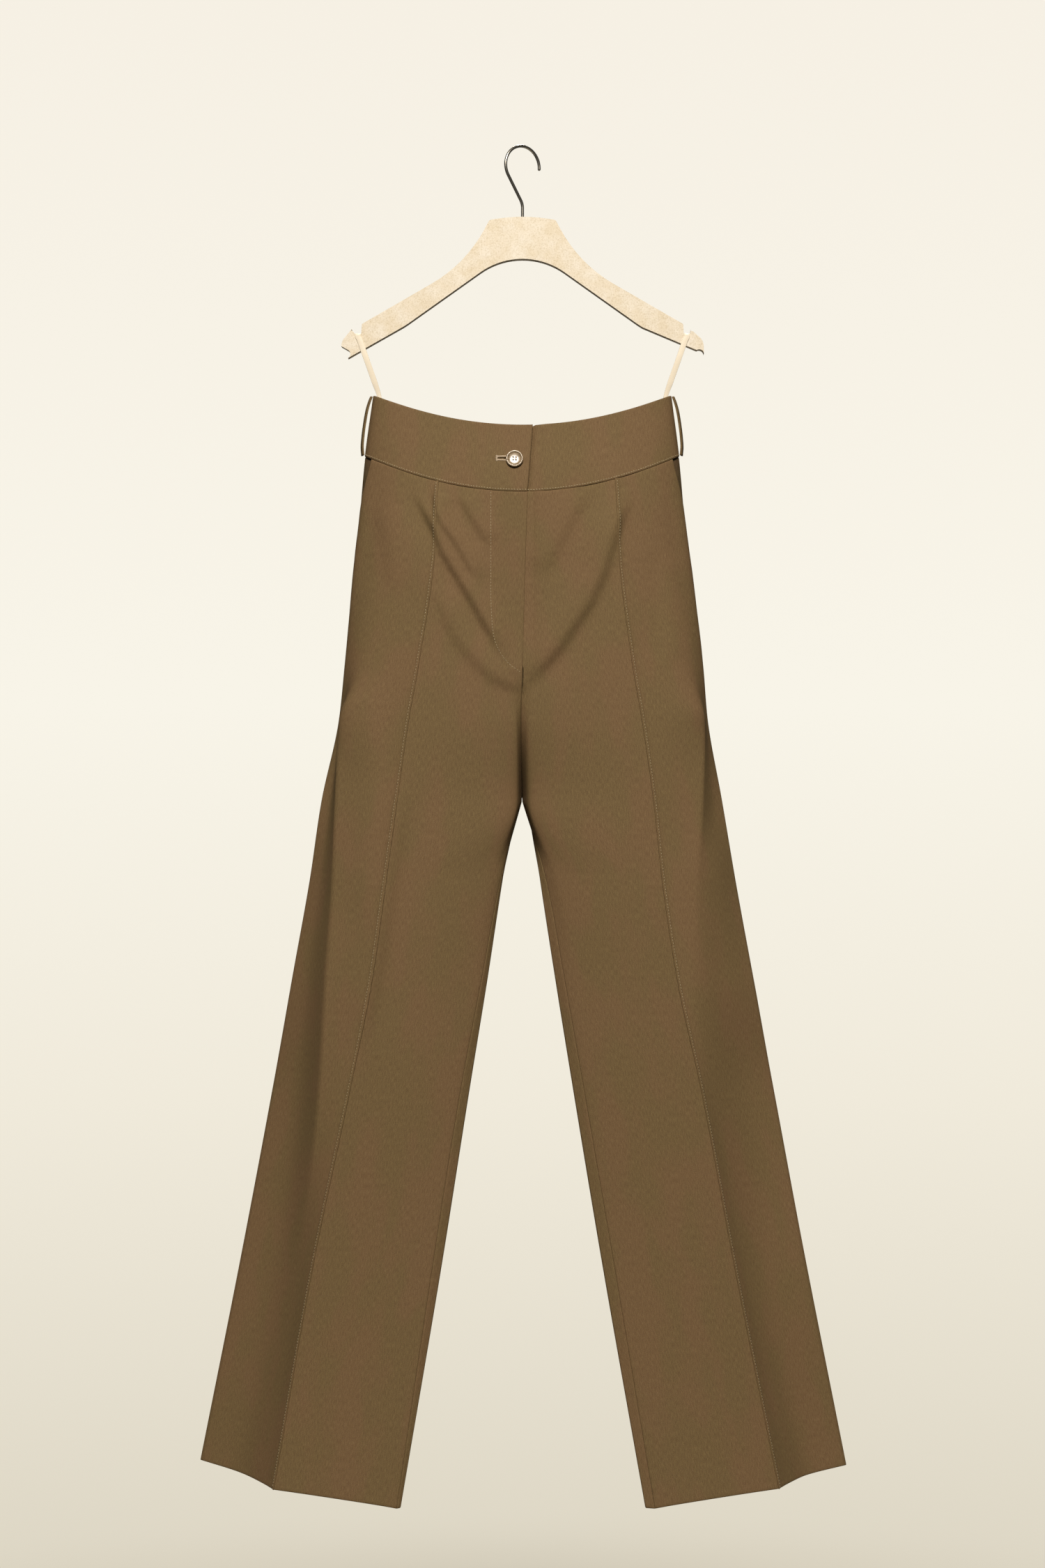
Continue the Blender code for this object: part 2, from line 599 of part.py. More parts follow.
def button(name, horn):
    """A four-hole button with a raised rim, lying on the left waistband."""
    share = (BUTTON_DROP - LEVELS[0].drop_in) / (LEVELS[1].drop_in - LEVELS[0].drop_in)
    drop = DROPS[0] + share * (DROPS[1] - DROPS[0])
    around = np.array((-1, 0, 1))
    points, normals = surface(LEFT, drop + around, lambda row: around - BUTTON_X,
                              creased=False)
    seat, axis = Vector(points[1, 1]), Vector(normals[1, 1])
    across = Vector((1, 0, 0)) - axis * axis.x
    across.normalize()
    up = axis.cross(across)
    foot = seat + axis * (BAND_PROUD + BUTTON_SHANK)

    work = bmesh.new()
    rings = []
    for out, height in BUTTON_OUTLINE:
        ring = []
        if out == 0:
            ring.append(work.verts.new((foot + axis * height * BUTTON_THICK) * MM))
        else:
            for k in range(BUTTON_SIDES):
                a = 2 * math.pi * k / BUTTON_SIDES
                spoke = across * math.cos(a) + up * math.sin(a)
                place = foot + spoke * out * BUTTON_WIDE + axis * height * BUTTON_THICK
                ring.append(work.verts.new(place * MM))
        rings.append(ring)
    for low, high in zip(rings, rings[1:]):
        for k in range(BUTTON_SIDES):
            n = (k + 1) % BUTTON_SIDES
            if len(low) == 1:
                work.faces.new((low[0], high[k], high[n]))
            elif len(high) == 1:
                work.faces.new((low[k], low[n], high[0]))
            else:
                work.faces.new((low[k], low[n], high[n], high[k]))
    bmesh.ops.recalc_face_normals(work, faces=work.faces)
    mesh = bpy.data.meshes.new(name)
    work.to_mesh(mesh)
    work.free()
    body = finish(name, mesh, horn)

    turn = axis.to_track_quat("Z", "Y")
    for k in range(4):
        a = math.radians(45 + 90 * k)
        spoke = (across * math.cos(a) + up * math.sin(a)) * BUTTON_HOLE_RING
        bpy.ops.mesh.primitive_cylinder_add(vertices=DRILL_SIDES, radius=BUTTON_HOLE / 2 * MM,
                                            depth=4 * BUTTON_THICK * MM,
                                            location=(foot + spoke) * MM,
                                            rotation=turn.to_euler())
        drill = bpy.context.active_object
        drill.name = f"button_drill_{k}"
        drill.hide_render, drill.display_type = True, "WIRE"
        cut = body.modifiers.new(f"Hole {k}", "BOOLEAN")
        cut.operation, cut.solver, cut.object = "DIFFERENCE", "EXACT", drill
    return body


# ---- hanger -----------------------------------------------------------------------
def rounded(corners, step_degrees=14):
    """Points of a closed outline whose corners are arcs of the given radii."""
    points = []
    for i, (x, z, radius) in enumerate(corners):
        here = Vector((x, z))
        back_way = (Vector(corners[i - 1][:2]) - here).normalized()
        on_way = (Vector(corners[(i + 1) % len(corners)][:2]) - here).normalized()
        half = back_way.angle(on_way) / 2
        centre = here + (back_way + on_way).normalized() * radius / math.sin(half)
        start = here + back_way * radius / math.tan(half) - centre
        sweep = math.pi - 2 * half
        way = 1 if start.x * on_way.y - start.y * on_way.x > 0 else -1
        steps = max(2, round(math.degrees(sweep) / step_degrees))
        for k in range(steps + 1):
            a = way * sweep * k / steps
            spoke = Vector((start.x * math.cos(a) - start.y * math.sin(a),
                            start.x * math.sin(a) + start.y * math.cos(a)))
            points.append(centre + spoke)
    return points


def hanger_body(name, plastic):
    """The flat hanger: its outline, extruded, with rounded edges and a bore for the hook."""
    half = [(x, -drop, radius) for x, drop, radius in HANGER_OUTLINE]
    mirrored = [(-x, z, radius) for x, z, radius in reversed(half[1:-1])]
    outline = rounded(half + mirrored)
    work = bmesh.new()
    front = [work.verts.new((p.x * MM, -HANGER_THICK / 2 * MM, p.y * MM)) for p in outline]
    face = work.faces.new(front)
    made = bmesh.ops.extrude_face_region(work, geom=[face])
    moved = [v for v in made["geom"] if isinstance(v, bmesh.types.BMVert)]
    bmesh.ops.translate(work, verts=moved, vec=(0, HANGER_THICK * MM, 0))
    bmesh.ops.recalc_face_normals(work, faces=work.faces)
    mesh = bpy.data.meshes.new(name)
    work.to_mesh(mesh)
    work.free()
    body = finish(name, mesh, plastic)

    edge = body.modifiers.new("Rounded edge", "BEVEL")
    edge.width, edge.segments = HANGER_EDGE * MM, 2
    edge.limit_method, edge.angle_limit = "ANGLE", math.radians(60)

    bore = HOOK_IN_HANGER + SEAM_GAP
    bpy.ops.mesh.primitive_cylinder_add(vertices=12, radius=(WIRE / 2 + SEAM_GAP) * MM,
                                        depth=2 * bore * MM, location=(0, 0, -NECK_TOP * MM))
    drill = bpy.context.active_object
    drill.name = "hanger_drill"
    drill.hide_render, drill.display_type = True, "WIRE"
    cut = body.modifiers.new("Hook bore", "BOOLEAN")
    cut.operation, cut.solver, cut.object = "DIFFERENCE", "EXACT", drill
    return body


def hook_path():
    """Middle line of the hook in its own plane, from its foot to its tip: along and drop."""
    crown = -WIRE / 2
    centre_drop = crown + HOOK_RADIUS
    lean = math.radians(HOOK_LEAN)
    touch = (-HOOK_RADIUS * math.cos(lean), centre_drop + HOOK_RADIUS * math.sin(lean))
    knee_drop = touch[1] - touch[0] / math.tan(lean)
    reach = HOOK_NECK_BEND * math.tan(lean / 2)
    path = [(0, NECK_TOP + HOOK_IN_HANGER), (0, NECK_TOP), (0, knee_drop + reach)]
    for k in range(1, 5):
        a = lean * k / 4
        path.append((-HOOK_NECK_BEND * (1 - math.cos(a)),
                     knee_drop + reach - HOOK_NECK_BEND * math.sin(a)))
    steps = 20
    start, stop = math.pi + lean, -math.radians(3)
    for k in range(steps + 1):
        a = start + (stop - start) * k / steps
        path.append((HOOK_RADIUS * math.cos(a), centre_drop - HOOK_RADIUS * math.sin(a)))
    return path


def hanger_hook(name, steel):
    """The wire hook, swivelled so that it passes over the rail from front to back."""
    turn = math.radians(HOOK_TURN)
    curve = bpy.data.curves.new(name, "CURVE")
    curve.dimensions = "3D"
    curve.bevel_depth, curve.bevel_resolution = WIRE / 2 * MM, 2
    curve.use_fill_caps = True
    path = hook_path()
    spline = curve.splines.new("POLY")
    spline.points.add(len(path) - 1)
    for point, (along, drop) in zip(spline.points, path):
        point.co = (along * math.cos(turn) * MM, along * math.sin(turn) * MM, -drop * MM, 1)
    body = bpy.data.objects.new(name, curve)
    bpy.context.collection.objects.link(body)
    curve.materials.append(steel)
    return body


# ---- the model --------------------------------------------------------------------
def main():
    for old in list(bpy.data.objects):
        bpy.data.objects.remove(old, do_unlink=True)

    twill = material("Wool twill", TWILL, 0.85)
    twill_dark = material("Wool twill, shaded", TWILL_DARK, 0.85)
    satin = material("Satin ribbon", SATIN, 0.4)
    horn = material("Horn button", HORN, 0.3)
    plastic = material("Speckled hanger plastic", CREAM, 0.6)
    steel = material("Hook steel", STEEL, 0.25, metallic=1.0)

    waistband_front(LEFT, "waistband_front_over", twill)
    waistband_front(RIGHT, "waistband_front_under", twill)
    waistband_back("waistband_back", twill)
    for side, word in ((LEFT, "left"), (RIGHT, "right")):
        front(side, f"front_{word}", twill)
        back(side, f"back_{word}", twill)
        pocket_facing(side, f"pocket_facing_{word}", twill_dark)
        belt_loop(side, f"belt_loop_{word}", twill)
        ribbon_loop(side, f"ribbon_loop_{word}", satin)
    button("button", horn)
    hanger_body("hanger_body", plastic)
    hanger_hook("hanger_hook", steel)


main()
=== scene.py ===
# %% [markdown]
# # Tailored trousers on a hanger
#
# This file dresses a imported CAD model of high-waisted, wide-leg trousers that hang by two
# ribbon loops from a flat hanger.  The CAD model has plain walls.  Here every one of them
# gets its real surface: rolled seams, a stitched crease, drag folds, thread, horn and wire.
#
# All sizes are in millimetres and turn to metres when a mesh is made.  A "drop" is a depth
# below the hook's crown, the front faces -Y, and left and right are the viewer's.

# %% Load the fixed frame
import json
import math
from collections import namedtuple

import bmesh
import bpy
import numpy as np
from mathutils import Matrix, Vector

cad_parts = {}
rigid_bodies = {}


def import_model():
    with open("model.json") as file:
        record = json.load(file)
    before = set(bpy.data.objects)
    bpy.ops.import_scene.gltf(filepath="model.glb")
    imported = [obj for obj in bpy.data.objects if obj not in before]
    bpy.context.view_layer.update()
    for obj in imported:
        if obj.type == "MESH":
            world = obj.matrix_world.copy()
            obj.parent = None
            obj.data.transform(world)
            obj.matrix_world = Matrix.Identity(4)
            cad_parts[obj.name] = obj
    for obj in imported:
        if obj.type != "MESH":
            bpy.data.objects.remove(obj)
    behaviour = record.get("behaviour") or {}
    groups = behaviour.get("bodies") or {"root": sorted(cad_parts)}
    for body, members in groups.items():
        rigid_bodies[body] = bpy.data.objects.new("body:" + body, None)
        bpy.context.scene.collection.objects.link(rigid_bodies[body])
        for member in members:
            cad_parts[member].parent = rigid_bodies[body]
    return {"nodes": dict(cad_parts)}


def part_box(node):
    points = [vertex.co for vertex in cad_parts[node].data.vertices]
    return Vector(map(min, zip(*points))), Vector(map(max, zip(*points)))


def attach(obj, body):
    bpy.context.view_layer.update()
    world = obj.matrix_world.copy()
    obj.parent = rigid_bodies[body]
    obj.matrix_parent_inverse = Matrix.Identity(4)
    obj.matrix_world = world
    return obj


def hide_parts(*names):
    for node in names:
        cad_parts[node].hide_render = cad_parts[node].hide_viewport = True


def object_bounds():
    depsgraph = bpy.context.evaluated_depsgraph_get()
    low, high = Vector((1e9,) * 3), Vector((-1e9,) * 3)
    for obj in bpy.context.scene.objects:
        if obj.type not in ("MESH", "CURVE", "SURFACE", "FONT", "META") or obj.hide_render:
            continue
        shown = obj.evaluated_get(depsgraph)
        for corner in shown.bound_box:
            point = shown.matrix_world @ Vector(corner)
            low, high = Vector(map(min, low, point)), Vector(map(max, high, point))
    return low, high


MM = 0.001
LEFT, RIGHT = -1, 1
SIDES = ((LEFT, "left"), (RIGHT, "right"))
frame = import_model()
cad_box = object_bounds()
cad_size = cad_box[1] - cad_box[0]
print("frame:", len(frame["nodes"]), "nodes,", [round(v, 3) for v in cad_size], "m")

# %% [markdown]
# ## The camera
#
# The photograph was taken level and from straight ahead, as one does for a hanging garment,
# so that verticals stay upright.  The camera stands 3.2 m away at mid height, and its lens
# takes in 1.69 m from top to bottom.

# %% Camera
CAMERA_AWAY = 3.2
PICTURE_TALL = 1.6875
PICTURE_MIDDLE = -0.68475
SENSOR = 36.0

camera_data = bpy.data.cameras.new("Camera")
camera_data.sensor_width = SENSOR
camera_data.lens = SENSOR * CAMERA_AWAY / PICTURE_TALL
camera = bpy.data.objects.new("Camera", camera_data)
camera.location = (0, -CAMERA_AWAY, PICTURE_MIDDLE)
camera.rotation_euler = (math.radians(90), 0, 0)
bpy.context.scene.collection.objects.link(camera)
bpy.context.scene.camera = camera
print("lens", round(camera_data.lens, 1), "mm")

# %% [markdown]
# ## Colours and nodes
#
# Colours are written as sRGB hex, the way a colour picker shows them, and one function
# turns them linear.  Another one adds a node, sets its values and links its inputs, which
# keeps each material readable as a list of what feeds what.

# %% Helpers for materials
def linear(code):
    """Linear RGBA from an sRGB hex code."""
    channels = [int(code[i:i + 2], 16) / 255 for i in (0, 2, 4)]
    return tuple(c / 12.92 if c <= 0.04045 else ((c + 0.055) / 1.055) ** 2.4
                 for c in channels) + (1,)


def feed(node, **inputs):
    """Fill a node's inputs: each takes a value, or another node's socket to link."""
    for key, value in inputs.items():
        socket = node.inputs[int(key[1:]) if key[1:].isdigit() else key.replace("_", " ")]
        if isinstance(value, bpy.types.NodeSocket):
            node.id_data.links.new(value, socket)
        else:
            socket.default_value = value


def add(tree, kind, settings=None, out=0, **inputs):
    """A new node, set and fed.  What comes back is its output socket, to feed others."""
    node = tree.nodes.new("ShaderNode" + kind)
    for key, value in (settings or {}).items():
        setattr(node, key, value)
    feed(node, **inputs)
    return node.outputs[out]


def new_material(name, **constants):
    """A material, its tree and its shader, with constants set on the shader's sockets."""
    made = bpy.data.materials.new(name)
    made.use_nodes = True
    shader = made.node_tree.nodes["Principled BSDF"]
    feed(shader, **constants)
    return made, made.node_tree, shader


def calculate(tree, operation, *values):
    """A maths node on values or sockets."""
    return add(tree, "Math", {"operation": operation},
               **{f"_{k}": value for k, value in enumerate(values)})


def ramp(tree, factor, *stops):
    """A colour ramp: each stop is a place and a hex colour."""
    colour = add(tree, "ValToRGB", Fac=factor)
    elements = colour.node.color_ramp.elements
    while len(elements) < len(stops):
        elements.new(0.5)
    for element, (place, code) in zip(elements, stops):
        element.position, element.color = place, linear(code)
    return colour

# %% [markdown]
# ## Wool twill
#
# The cloth is a gabardine: a tightly woven wool twill with fine steep diagonal ribs, a dry
# matte face and a faint bloom of fibre ends, which the sheen gives.  Its wool is dyed before
# spinning, so brown and olive hairs mix in every yarn and the colour is never flat: flecks
# run along the warp, and broader clouds drift from brown to olive.  Real ribs lie 0.5 mm
# apart, too fine for the picture, so they are drawn 1.2 mm apart.  The pattern follows a UV
# map in metres that runs along the grain of each panel.

# %% Twill
RIB_PITCH = 1.2                         # real ones lie 0.5 mm apart
RIB_LEAN = math.radians(27)             # ribs lean this far off the warp
RIB_SHADE, RIB_HEIGHT = 0.08, 0.5       # how much ribs show in the colour and in the bump
WAVES = 1 / 3.1416                      # scale at which a wave texture repeats once a unit
WARP_FLECK = (0.9, 6.0)                 # width and length of a fleck along the warp
HAIR = (0.7, 0.7)                       # fine mixed hairs
CLOUD = (45.0, 120.0)                   # soft drifts of colour across and down a panel
TONES_AT = (0.36, 0.54, 0.72)           # where the dark, middle and light tones stand
OLIVE_AT = (0.36, 0.62)                 # clouds turn from brown to olive between these


def twill(name, brown, olive, sheen):
    """Gabardine in two mixed shades.  Each is dark, middle and light."""
    made, tree, shader = new_material(
        name, Roughness=0.8, IOR=1.45, Specular_IOR_Level=0.2, Sheen_Weight=sheen,
        Sheen_Roughness=0.5, Sheen_Tint=linear("b39a72"))
    grain = add(tree, "UVMap", {"uv_map": "grain"})

    def noise(wide, long, detail):
        stretched = add(tree, "Mapping", Vector=grain,
                        Scale=(1 / (wide * MM), 1 / (long * MM), 1))
        return add(tree, "TexNoise", {"noise_dimensions": "2D"}, Vector=stretched,
                   Scale=1.0, Detail=detail, Roughness=0.55)

    flecks, hairs, clouds = noise(*WARP_FLECK, 2.0), noise(*HAIR, 1.0), noise(*CLOUD, 2.0)
    leaning = add(tree, "Mapping", Vector=grain, Rotation=(0, 0, RIB_LEAN))
    ribs = add(tree, "TexWave", {"bands_direction": "X"}, "Fac", Vector=leaning,
               Scale=WAVES / (RIB_PITCH * MM), Distortion=0.8, Detail=1.0, Detail_Scale=1.5)
    mixed = calculate(tree, "MULTIPLY_ADD", flecks, 0.5, calculate(tree, "MULTIPLY", hairs, 0.5))
    shade = calculate(tree, "MULTIPLY_ADD", ribs, RIB_SHADE, mixed)
    height = calculate(tree, "MULTIPLY_ADD", ribs, RIB_HEIGHT, mixed)
    drift = add(tree, "MapRange", {"interpolation_type": "SMOOTHSTEP"}, Value=clouds,
                From_Min=OLIVE_AT[0], From_Max=OLIVE_AT[1])
    feed(shader, Base_Color=add(tree, "Mix", {"data_type": "RGBA"}, 2, _0=drift,
                                _6=ramp(tree, shade, *zip(TONES_AT, brown)),
                                _7=ramp(tree, shade, *zip(TONES_AT, olive))),
         Normal=add(tree, "Bump", Height=height, Strength=0.3, Distance=0.25 * MM))
    return made


WOOL_TWILL = twill("Wool gabardine twill", ("654f38", "705a40", "7c664a"),
                   ("614f36", "6c5a3e", "796747"), 0.04)
# A darker copy of the same twill for the pocket facings: its darkness is painted shade.
TWILL_IN_PAINTED_SHADE = twill("Wool gabardine twill in painted shade", ("4a3a29", "5b4835", "6b5640"),
                     ("453b28", "564933", "65573e"), 0.03)
print("materials so far:", WOOL_TWILL.name, "and", TWILL_IN_PAINTED_SHADE.name)

# %% [markdown]
# ## The cut of the garment
#
# Trousers are drafted on a few levels: waist, hip, crotch, fork, thigh, knee and hem.  Each
# half is one ring of twelve lines at every level, and smooth curves join them across and
# down.  A Level holds what both halves share, a Half how far out its own lines stand and how
# deep its pressed folds lie, so a change of a few numbers changes the cut as it would on a
# pattern.  Where cloth is pressed or turns sharply, a line is a corner instead of a smooth
# bend.  These are the numbers that the solids were made from.

# %% Levels and lines
Level = namedtuple("Level", "name drop drop_in drop_out bend inner_y turn_y crease_y"
                            " seam_in seam_y outer outer_y bcrease bcrease_y"
                            " binner binner_y hollow_y centre_y")
LEVELS = (
    Level("band top",  284, 302, 267, 2.0, -35, -34.7, -29.4, -2.5,  0,
          125, 22,  84, 29.8,  40, 33.9, 34.9, 35),
    Level("waist",     354, 374.5, 333, 2.0, -48, -47.6, -40, -2.5,  0,
          132, 30,  92, 40.3,  45, 46.3, 47.8, 48),
    Level("pocket",    441, 441, 441, 1.5, -50, -50,   -50,    1.5, 14,
          150, 40,  96, 54,  48, 58, 60, 60),
    Level("hip",       557, 557, 557, 1.0, -50, -50.5, -52,    5.0, 26,
          160, 54, 104, 70,  52, 73, 71, 67),
    Level("crotch",    616, 616, 616, 1.0, -40, -47,   -53,    4.5, 28,
          166, 60, 110, 76,  56, 76, 66, 58),
    Level("fork",      703, 703, 703, 1.0,  14, -32,   -54,    5.5, 28,
          178, 62, 115, 80,  58, 74, 44, 14),
    Level("thigh",     786, 786, 786, 1.0, -27, -35,   -54,    6.5, 32,
          190, 66, 130, 84,  76, 70, -22, -27),
    Level("low thigh", 891, 891, 891, 1.0, -27, -32,   -52,    7.0, 38,
          208, 68, 148, 86,  94, 66, -21, -27),
    Level("knee",     1011, 1011, 1011, 1.0, -25, -28, -49,    7.5, 50,
          230, 71, 168, 88, 114, 62, -19, -25),
    Level("shin",     1191, 1191, 1191, 1.0, -20, -22, -42,    8.0, 59,
          262, 76, 200, 92, 144, 56, -15, -20),
    Level("hem",      1443, 1462.4, 1423, 0.9, -11, -13, -30,   9.0, 66,
          305, 82, 245, 95, 190, 52, -8, -11),
)
FORK = 5
Half = namedtuple("Half", "inner turn crease crest valley edge hollow"
                          " crest_y valley_y edge_y")
HALVES = {
    LEFT: (
        Half(0,     20,   84,    120,   140,   158,   15,  -23.2, -17.1, -6),
        Half(0,     22,   90,    128,   148,   167,   15,  -31.5, -23.4, -8),
        Half(0,     22,   94,    138,   162,   180.5, 15,  -38,   -26,   -8),
        Half(0,     20,  110.5,  168,   184,   191,   14,  -36,   -22,   -8),
        Half(1.5,   8,   121,    195.5, 193,   197.5, 10,  -29,   -12,    0),
        Half(0.5,   5.5, 133.5,  199.5, 205,   216.5,  7,  -32,   -14,   -4),
        Half(22.9, 36,   145,    202,   215,   229.5, 21,  -35,   -10,    4),
        Half(43,   56,   160,    209,   229,   249,   37,  -38,    -4,   13),
        Half(65.7, 74,   184,    216,   239,   271.5, 56.5, -36,    2,   29),
        Half(94.5, 103,  222,    238,   263,   306,   85,  -20,     9,   36),
        Half(134.8, 143, 266,    278,   306,   353,  131,  -12,    20,   48),
    ),
    RIGHT: (
        Half(0,     20,   88,    122,   141,   157.5, 15,  -22.6, -16.5, -6),
        Half(0,     22,   99,    132,   149,   166,   15,  -29.8, -22.4, -8),
        Half(0,     22,  103,    140,   161,   180,   15,  -37,   -26,   -8),
        Half(0,     20,  117,    170,   187,   194,   14,  -36,   -22,   -8),
        Half(-1.5,  8,   127,    194.5, 196,   199.5, 10,  -30,   -16,    0),
        Half(-0.5,  6.7, 139.5,  192,   203,   215,    7,  -36,   -17,   -4),
        Half(24.7, 38,   148.5,  186,   208,   229,   18.5, -45,  -29,   -6),
        Half(44.2, 57,   164.5,  184,   216,   248.5, 34.6, -47,  -28,   -5),
        Half(65.4, 74,   190.5,  203,   238,   271.5, 54,  -37,    -8,   12),
        Half(96.4, 105,  224.6,  236,   256,   305,   84,  -28,   -12,    8),
        Half(142,  150,  274,    288,   308,   352,  132,  -11,     9,   23),
    ),
}
INNER, TURN, CREASE, CREST, VALLEY, EDGE, SEAM, OUTER, BCREASE, BINNER, HOLLOW, CENTRE = range(12)

# Drops between which the crest is a corner: it sharpens, is crisp, softens and is gone.
CREST_CORNER = {LEFT: (610, 690, 1050, 1230), RIGHT: (600, 680, 720, 900)}
DROPS = np.array([level.drop for level in LEVELS], float)
BAND_TOP, WAIST, FORK_DROP, HEM = DROPS[0], DROPS[1], DROPS[FORK], DROPS[-1]
SLANTS = np.array([(level.drop_in, level.drop_out, level.bend) for level in LEVELS], float)


def ring_table(side):
    """Places of the twelve lines at each level, as (levels, 12, 2) of out and depth."""
    return np.array([(
        (half.inner, level.inner_y), (half.turn, level.turn_y), (half.crease, level.crease_y),
        (half.crest, half.crest_y), (half.valley, half.valley_y), (half.edge, half.edge_y),
        (half.edge - level.seam_in, level.seam_y), (level.outer, level.outer_y),
        (level.bcrease, level.bcrease_y), (level.binner, level.binner_y),
        (half.hollow, level.hollow_y), (half.inner, level.centre_y))
        for level, half in zip(LEVELS, HALVES[side])], float)


RINGS = {side: ring_table(side) for side in (LEFT, RIGHT)}
print("rings:", {side: ring.shape for side, ring in RINGS.items()})

# %% Smooth curves through the table
def slopes(knots, values):
    """Slopes of a smooth curve that never swings past its values."""
    step = np.diff(knots)[:, None]
    rise = np.diff(values, axis=0) / step
    before, after = rise[:-1], rise[1:]
    w1, w2 = 2 * step[1:] + step[:-1], step[1:] + 2 * step[:-1]
    agree = before * after > 0
    safe_before, safe_after = np.where(agree, before, 1), np.where(agree, after, 1)
    middle = np.where(agree, (w1 + w2) / (w1 / safe_before + w2 / safe_after), 0)
    return np.vstack([rise[:1], middle, rise[-1:]])


def smooth(knots, values, at, corners=0.0):
    """The curve through (knots, values) at the given places.

    corners gives the knots their shares of a corner: 0 runs smoothly through, and at 1
    both sides meet at a crisp angle.
    """
    knots, values = np.asarray(knots, float), np.asarray(values, float)
    at = np.atleast_1d(np.asarray(at, float))
    corners = np.broadcast_to(corners, len(knots))[:, None]
    slope, chord = slopes(knots, values), np.diff(values, axis=0) / np.diff(knots)[:, None]
    leaving = slope[:-1] + corners[:-1] * (chord - slope[:-1])
    coming = slope[1:] + corners[1:] * (chord - slope[1:])
    k = np.clip(np.searchsorted(knots, at, side="right") - 1, 0, len(knots) - 2)
    step = (knots[k + 1] - knots[k])[:, None]
    t = (at - knots[k])[:, None] / step
    return ((1 + 2 * t) * (1 - t) ** 2 * values[k] + t * (1 - t) ** 2 * step * leaving[k]
            + t * t * (3 - 2 * t) * values[k + 1] + t * t * (t - 1) * step * coming[k])


def ease(value, start, stop):
    """0 before start, 1 after stop, and a smooth ramp between."""
    t = np.clip((np.asarray(value, float) - start) / (stop - start), 0, 1)
    return t * t * (3 - 2 * t)


def run(points):
    """Distances of a line's points from its start."""
    return np.r_[0, np.cumsum(np.linalg.norm(np.diff(points, axis=0), axis=1))]


def unit(vectors):
    """The same directions, one long."""
    return vectors / np.linalg.norm(vectors, axis=-1, keepdims=True)


class Section:
    """One half of the garment at one level: a curve by distance from the inner line."""

    def __init__(self, side, drop, creased=True):
        self.side, self.drop = side, drop
        table = RINGS[side]
        points = smooth(DROPS, table.reshape(len(DROPS), -1), drop)[0].reshape(-1, 2)
        part = slice(0, FORK + 1) if drop <= FORK_DROP else slice(FORK, None)
        for line in (INNER, CENTRE):
            points[line] = smooth(DROPS[part], table[part, line], drop)[0]
        self.points = points
        self.knots = run(points)
        self.length = self.knots[-1]
        self.drop_in, self.drop_out, self.bend = smooth(DROPS, SLANTS, drop)[0]
        self.closed = drop >= FORK_DROP
        self.creased = creased
        rise, crisp, soft, gone = CREST_CORNER[side]
        self.corners = np.zeros(len(points))
        self.corners[CREST] = ease(drop, rise, crisp) * (1 - ease(drop, soft, gone))
        self.corners[EDGE] = ease(drop, DROPS[FORK - 1], FORK_DROP)
        self.corners[HOLLOW] = ease(drop, FORK_DROP, DROPS[FORK + 1])

    def flat(self, along):
        """Out and depth at distances from the inner line, round to the back."""
        knots, points = self.knots, self.points
        if not self.creased:
            return smooth(knots, points, along)
        side = slice(CREASE, BCREASE + 1)
        out = smooth(knots[side], points[side], along, self.corners[side])
        front, back = along < knots[CREASE], along > knots[BCREASE]
        if self.closed:
            round_knots = np.r_[knots[BCREASE:], self.length + knots[TURN:CREASE + 1]]
            round_points = np.vstack([points[BCREASE:], points[TURN:CREASE + 1]])
            bends = np.r_[self.corners[BCREASE:], self.corners[TURN:CREASE + 1]]
            out[front] = smooth(round_knots, round_points, along[front] + self.length, bends)
            out[back] = smooth(round_knots, round_points, along[back], bends)
        else:
            out[front] = smooth(knots[:CREASE + 1], points[:CREASE + 1], along[front])
            out[back] = smooth(knots[BCREASE:], points[BCREASE:], along[back])
        return out

    def at(self, along):
        """Points in space, in millimetres."""
        flat = self.flat(along)
        far = max(self.points[EDGE][0], self.points[SEAM][0])
        inner = self.points[INNER][0]
        share = np.maximum((flat[:, 0] - inner) / (far - inner), 0)
        drop = self.drop_in + (self.drop_out - self.drop_in) * share ** self.bend
        return np.column_stack([self.side * flat[:, 0], flat[:, 1], -drop])


class Row:
    """Both halves at one level.  A distance below zero lies past the centre front."""

    def __init__(self, side, drop, creased=True):
        self.own = Section(side, drop, creased)
        self.other = Section(-side, drop, creased)
        self.knots, self.drop, self.side = self.own.knots, drop, side

    def at(self, along):
        along = np.atleast_1d(np.asarray(along, float))
        if self.own.closed:
            return self.own.at(np.mod(along, self.own.length))
        points = self.own.at(np.clip(along, 0, self.own.length))
        past = along < 0
        if past.any():
            points[past] = self.other.at(-along[past])
        return points


NUDGE = 0.4                             # half step of the slopes, in millimetres


def skin(side, drops, places, creased=True):
    """Points, outward normals and directions across, on a grid of places round the ring."""
    points, normals, ways = [], [], []
    for drop in drops:
        over, row, under = (Row(side, drop + step, creased) for step in (-NUDGE, 0, NUDGE))
        along = places(row)
        across = row.at(along + NUDGE) - row.at(along - NUDGE)
        down = under.at(places(under)) - over.at(places(over))
        points.append(row.at(along))
        normals.append(unit(np.cross(down, across) * side))
        ways.append(unit(across))
    return np.array(points), np.array(normals), np.array(ways)


print("hem ring:", round(Section(LEFT, HEM).length), "mm round")
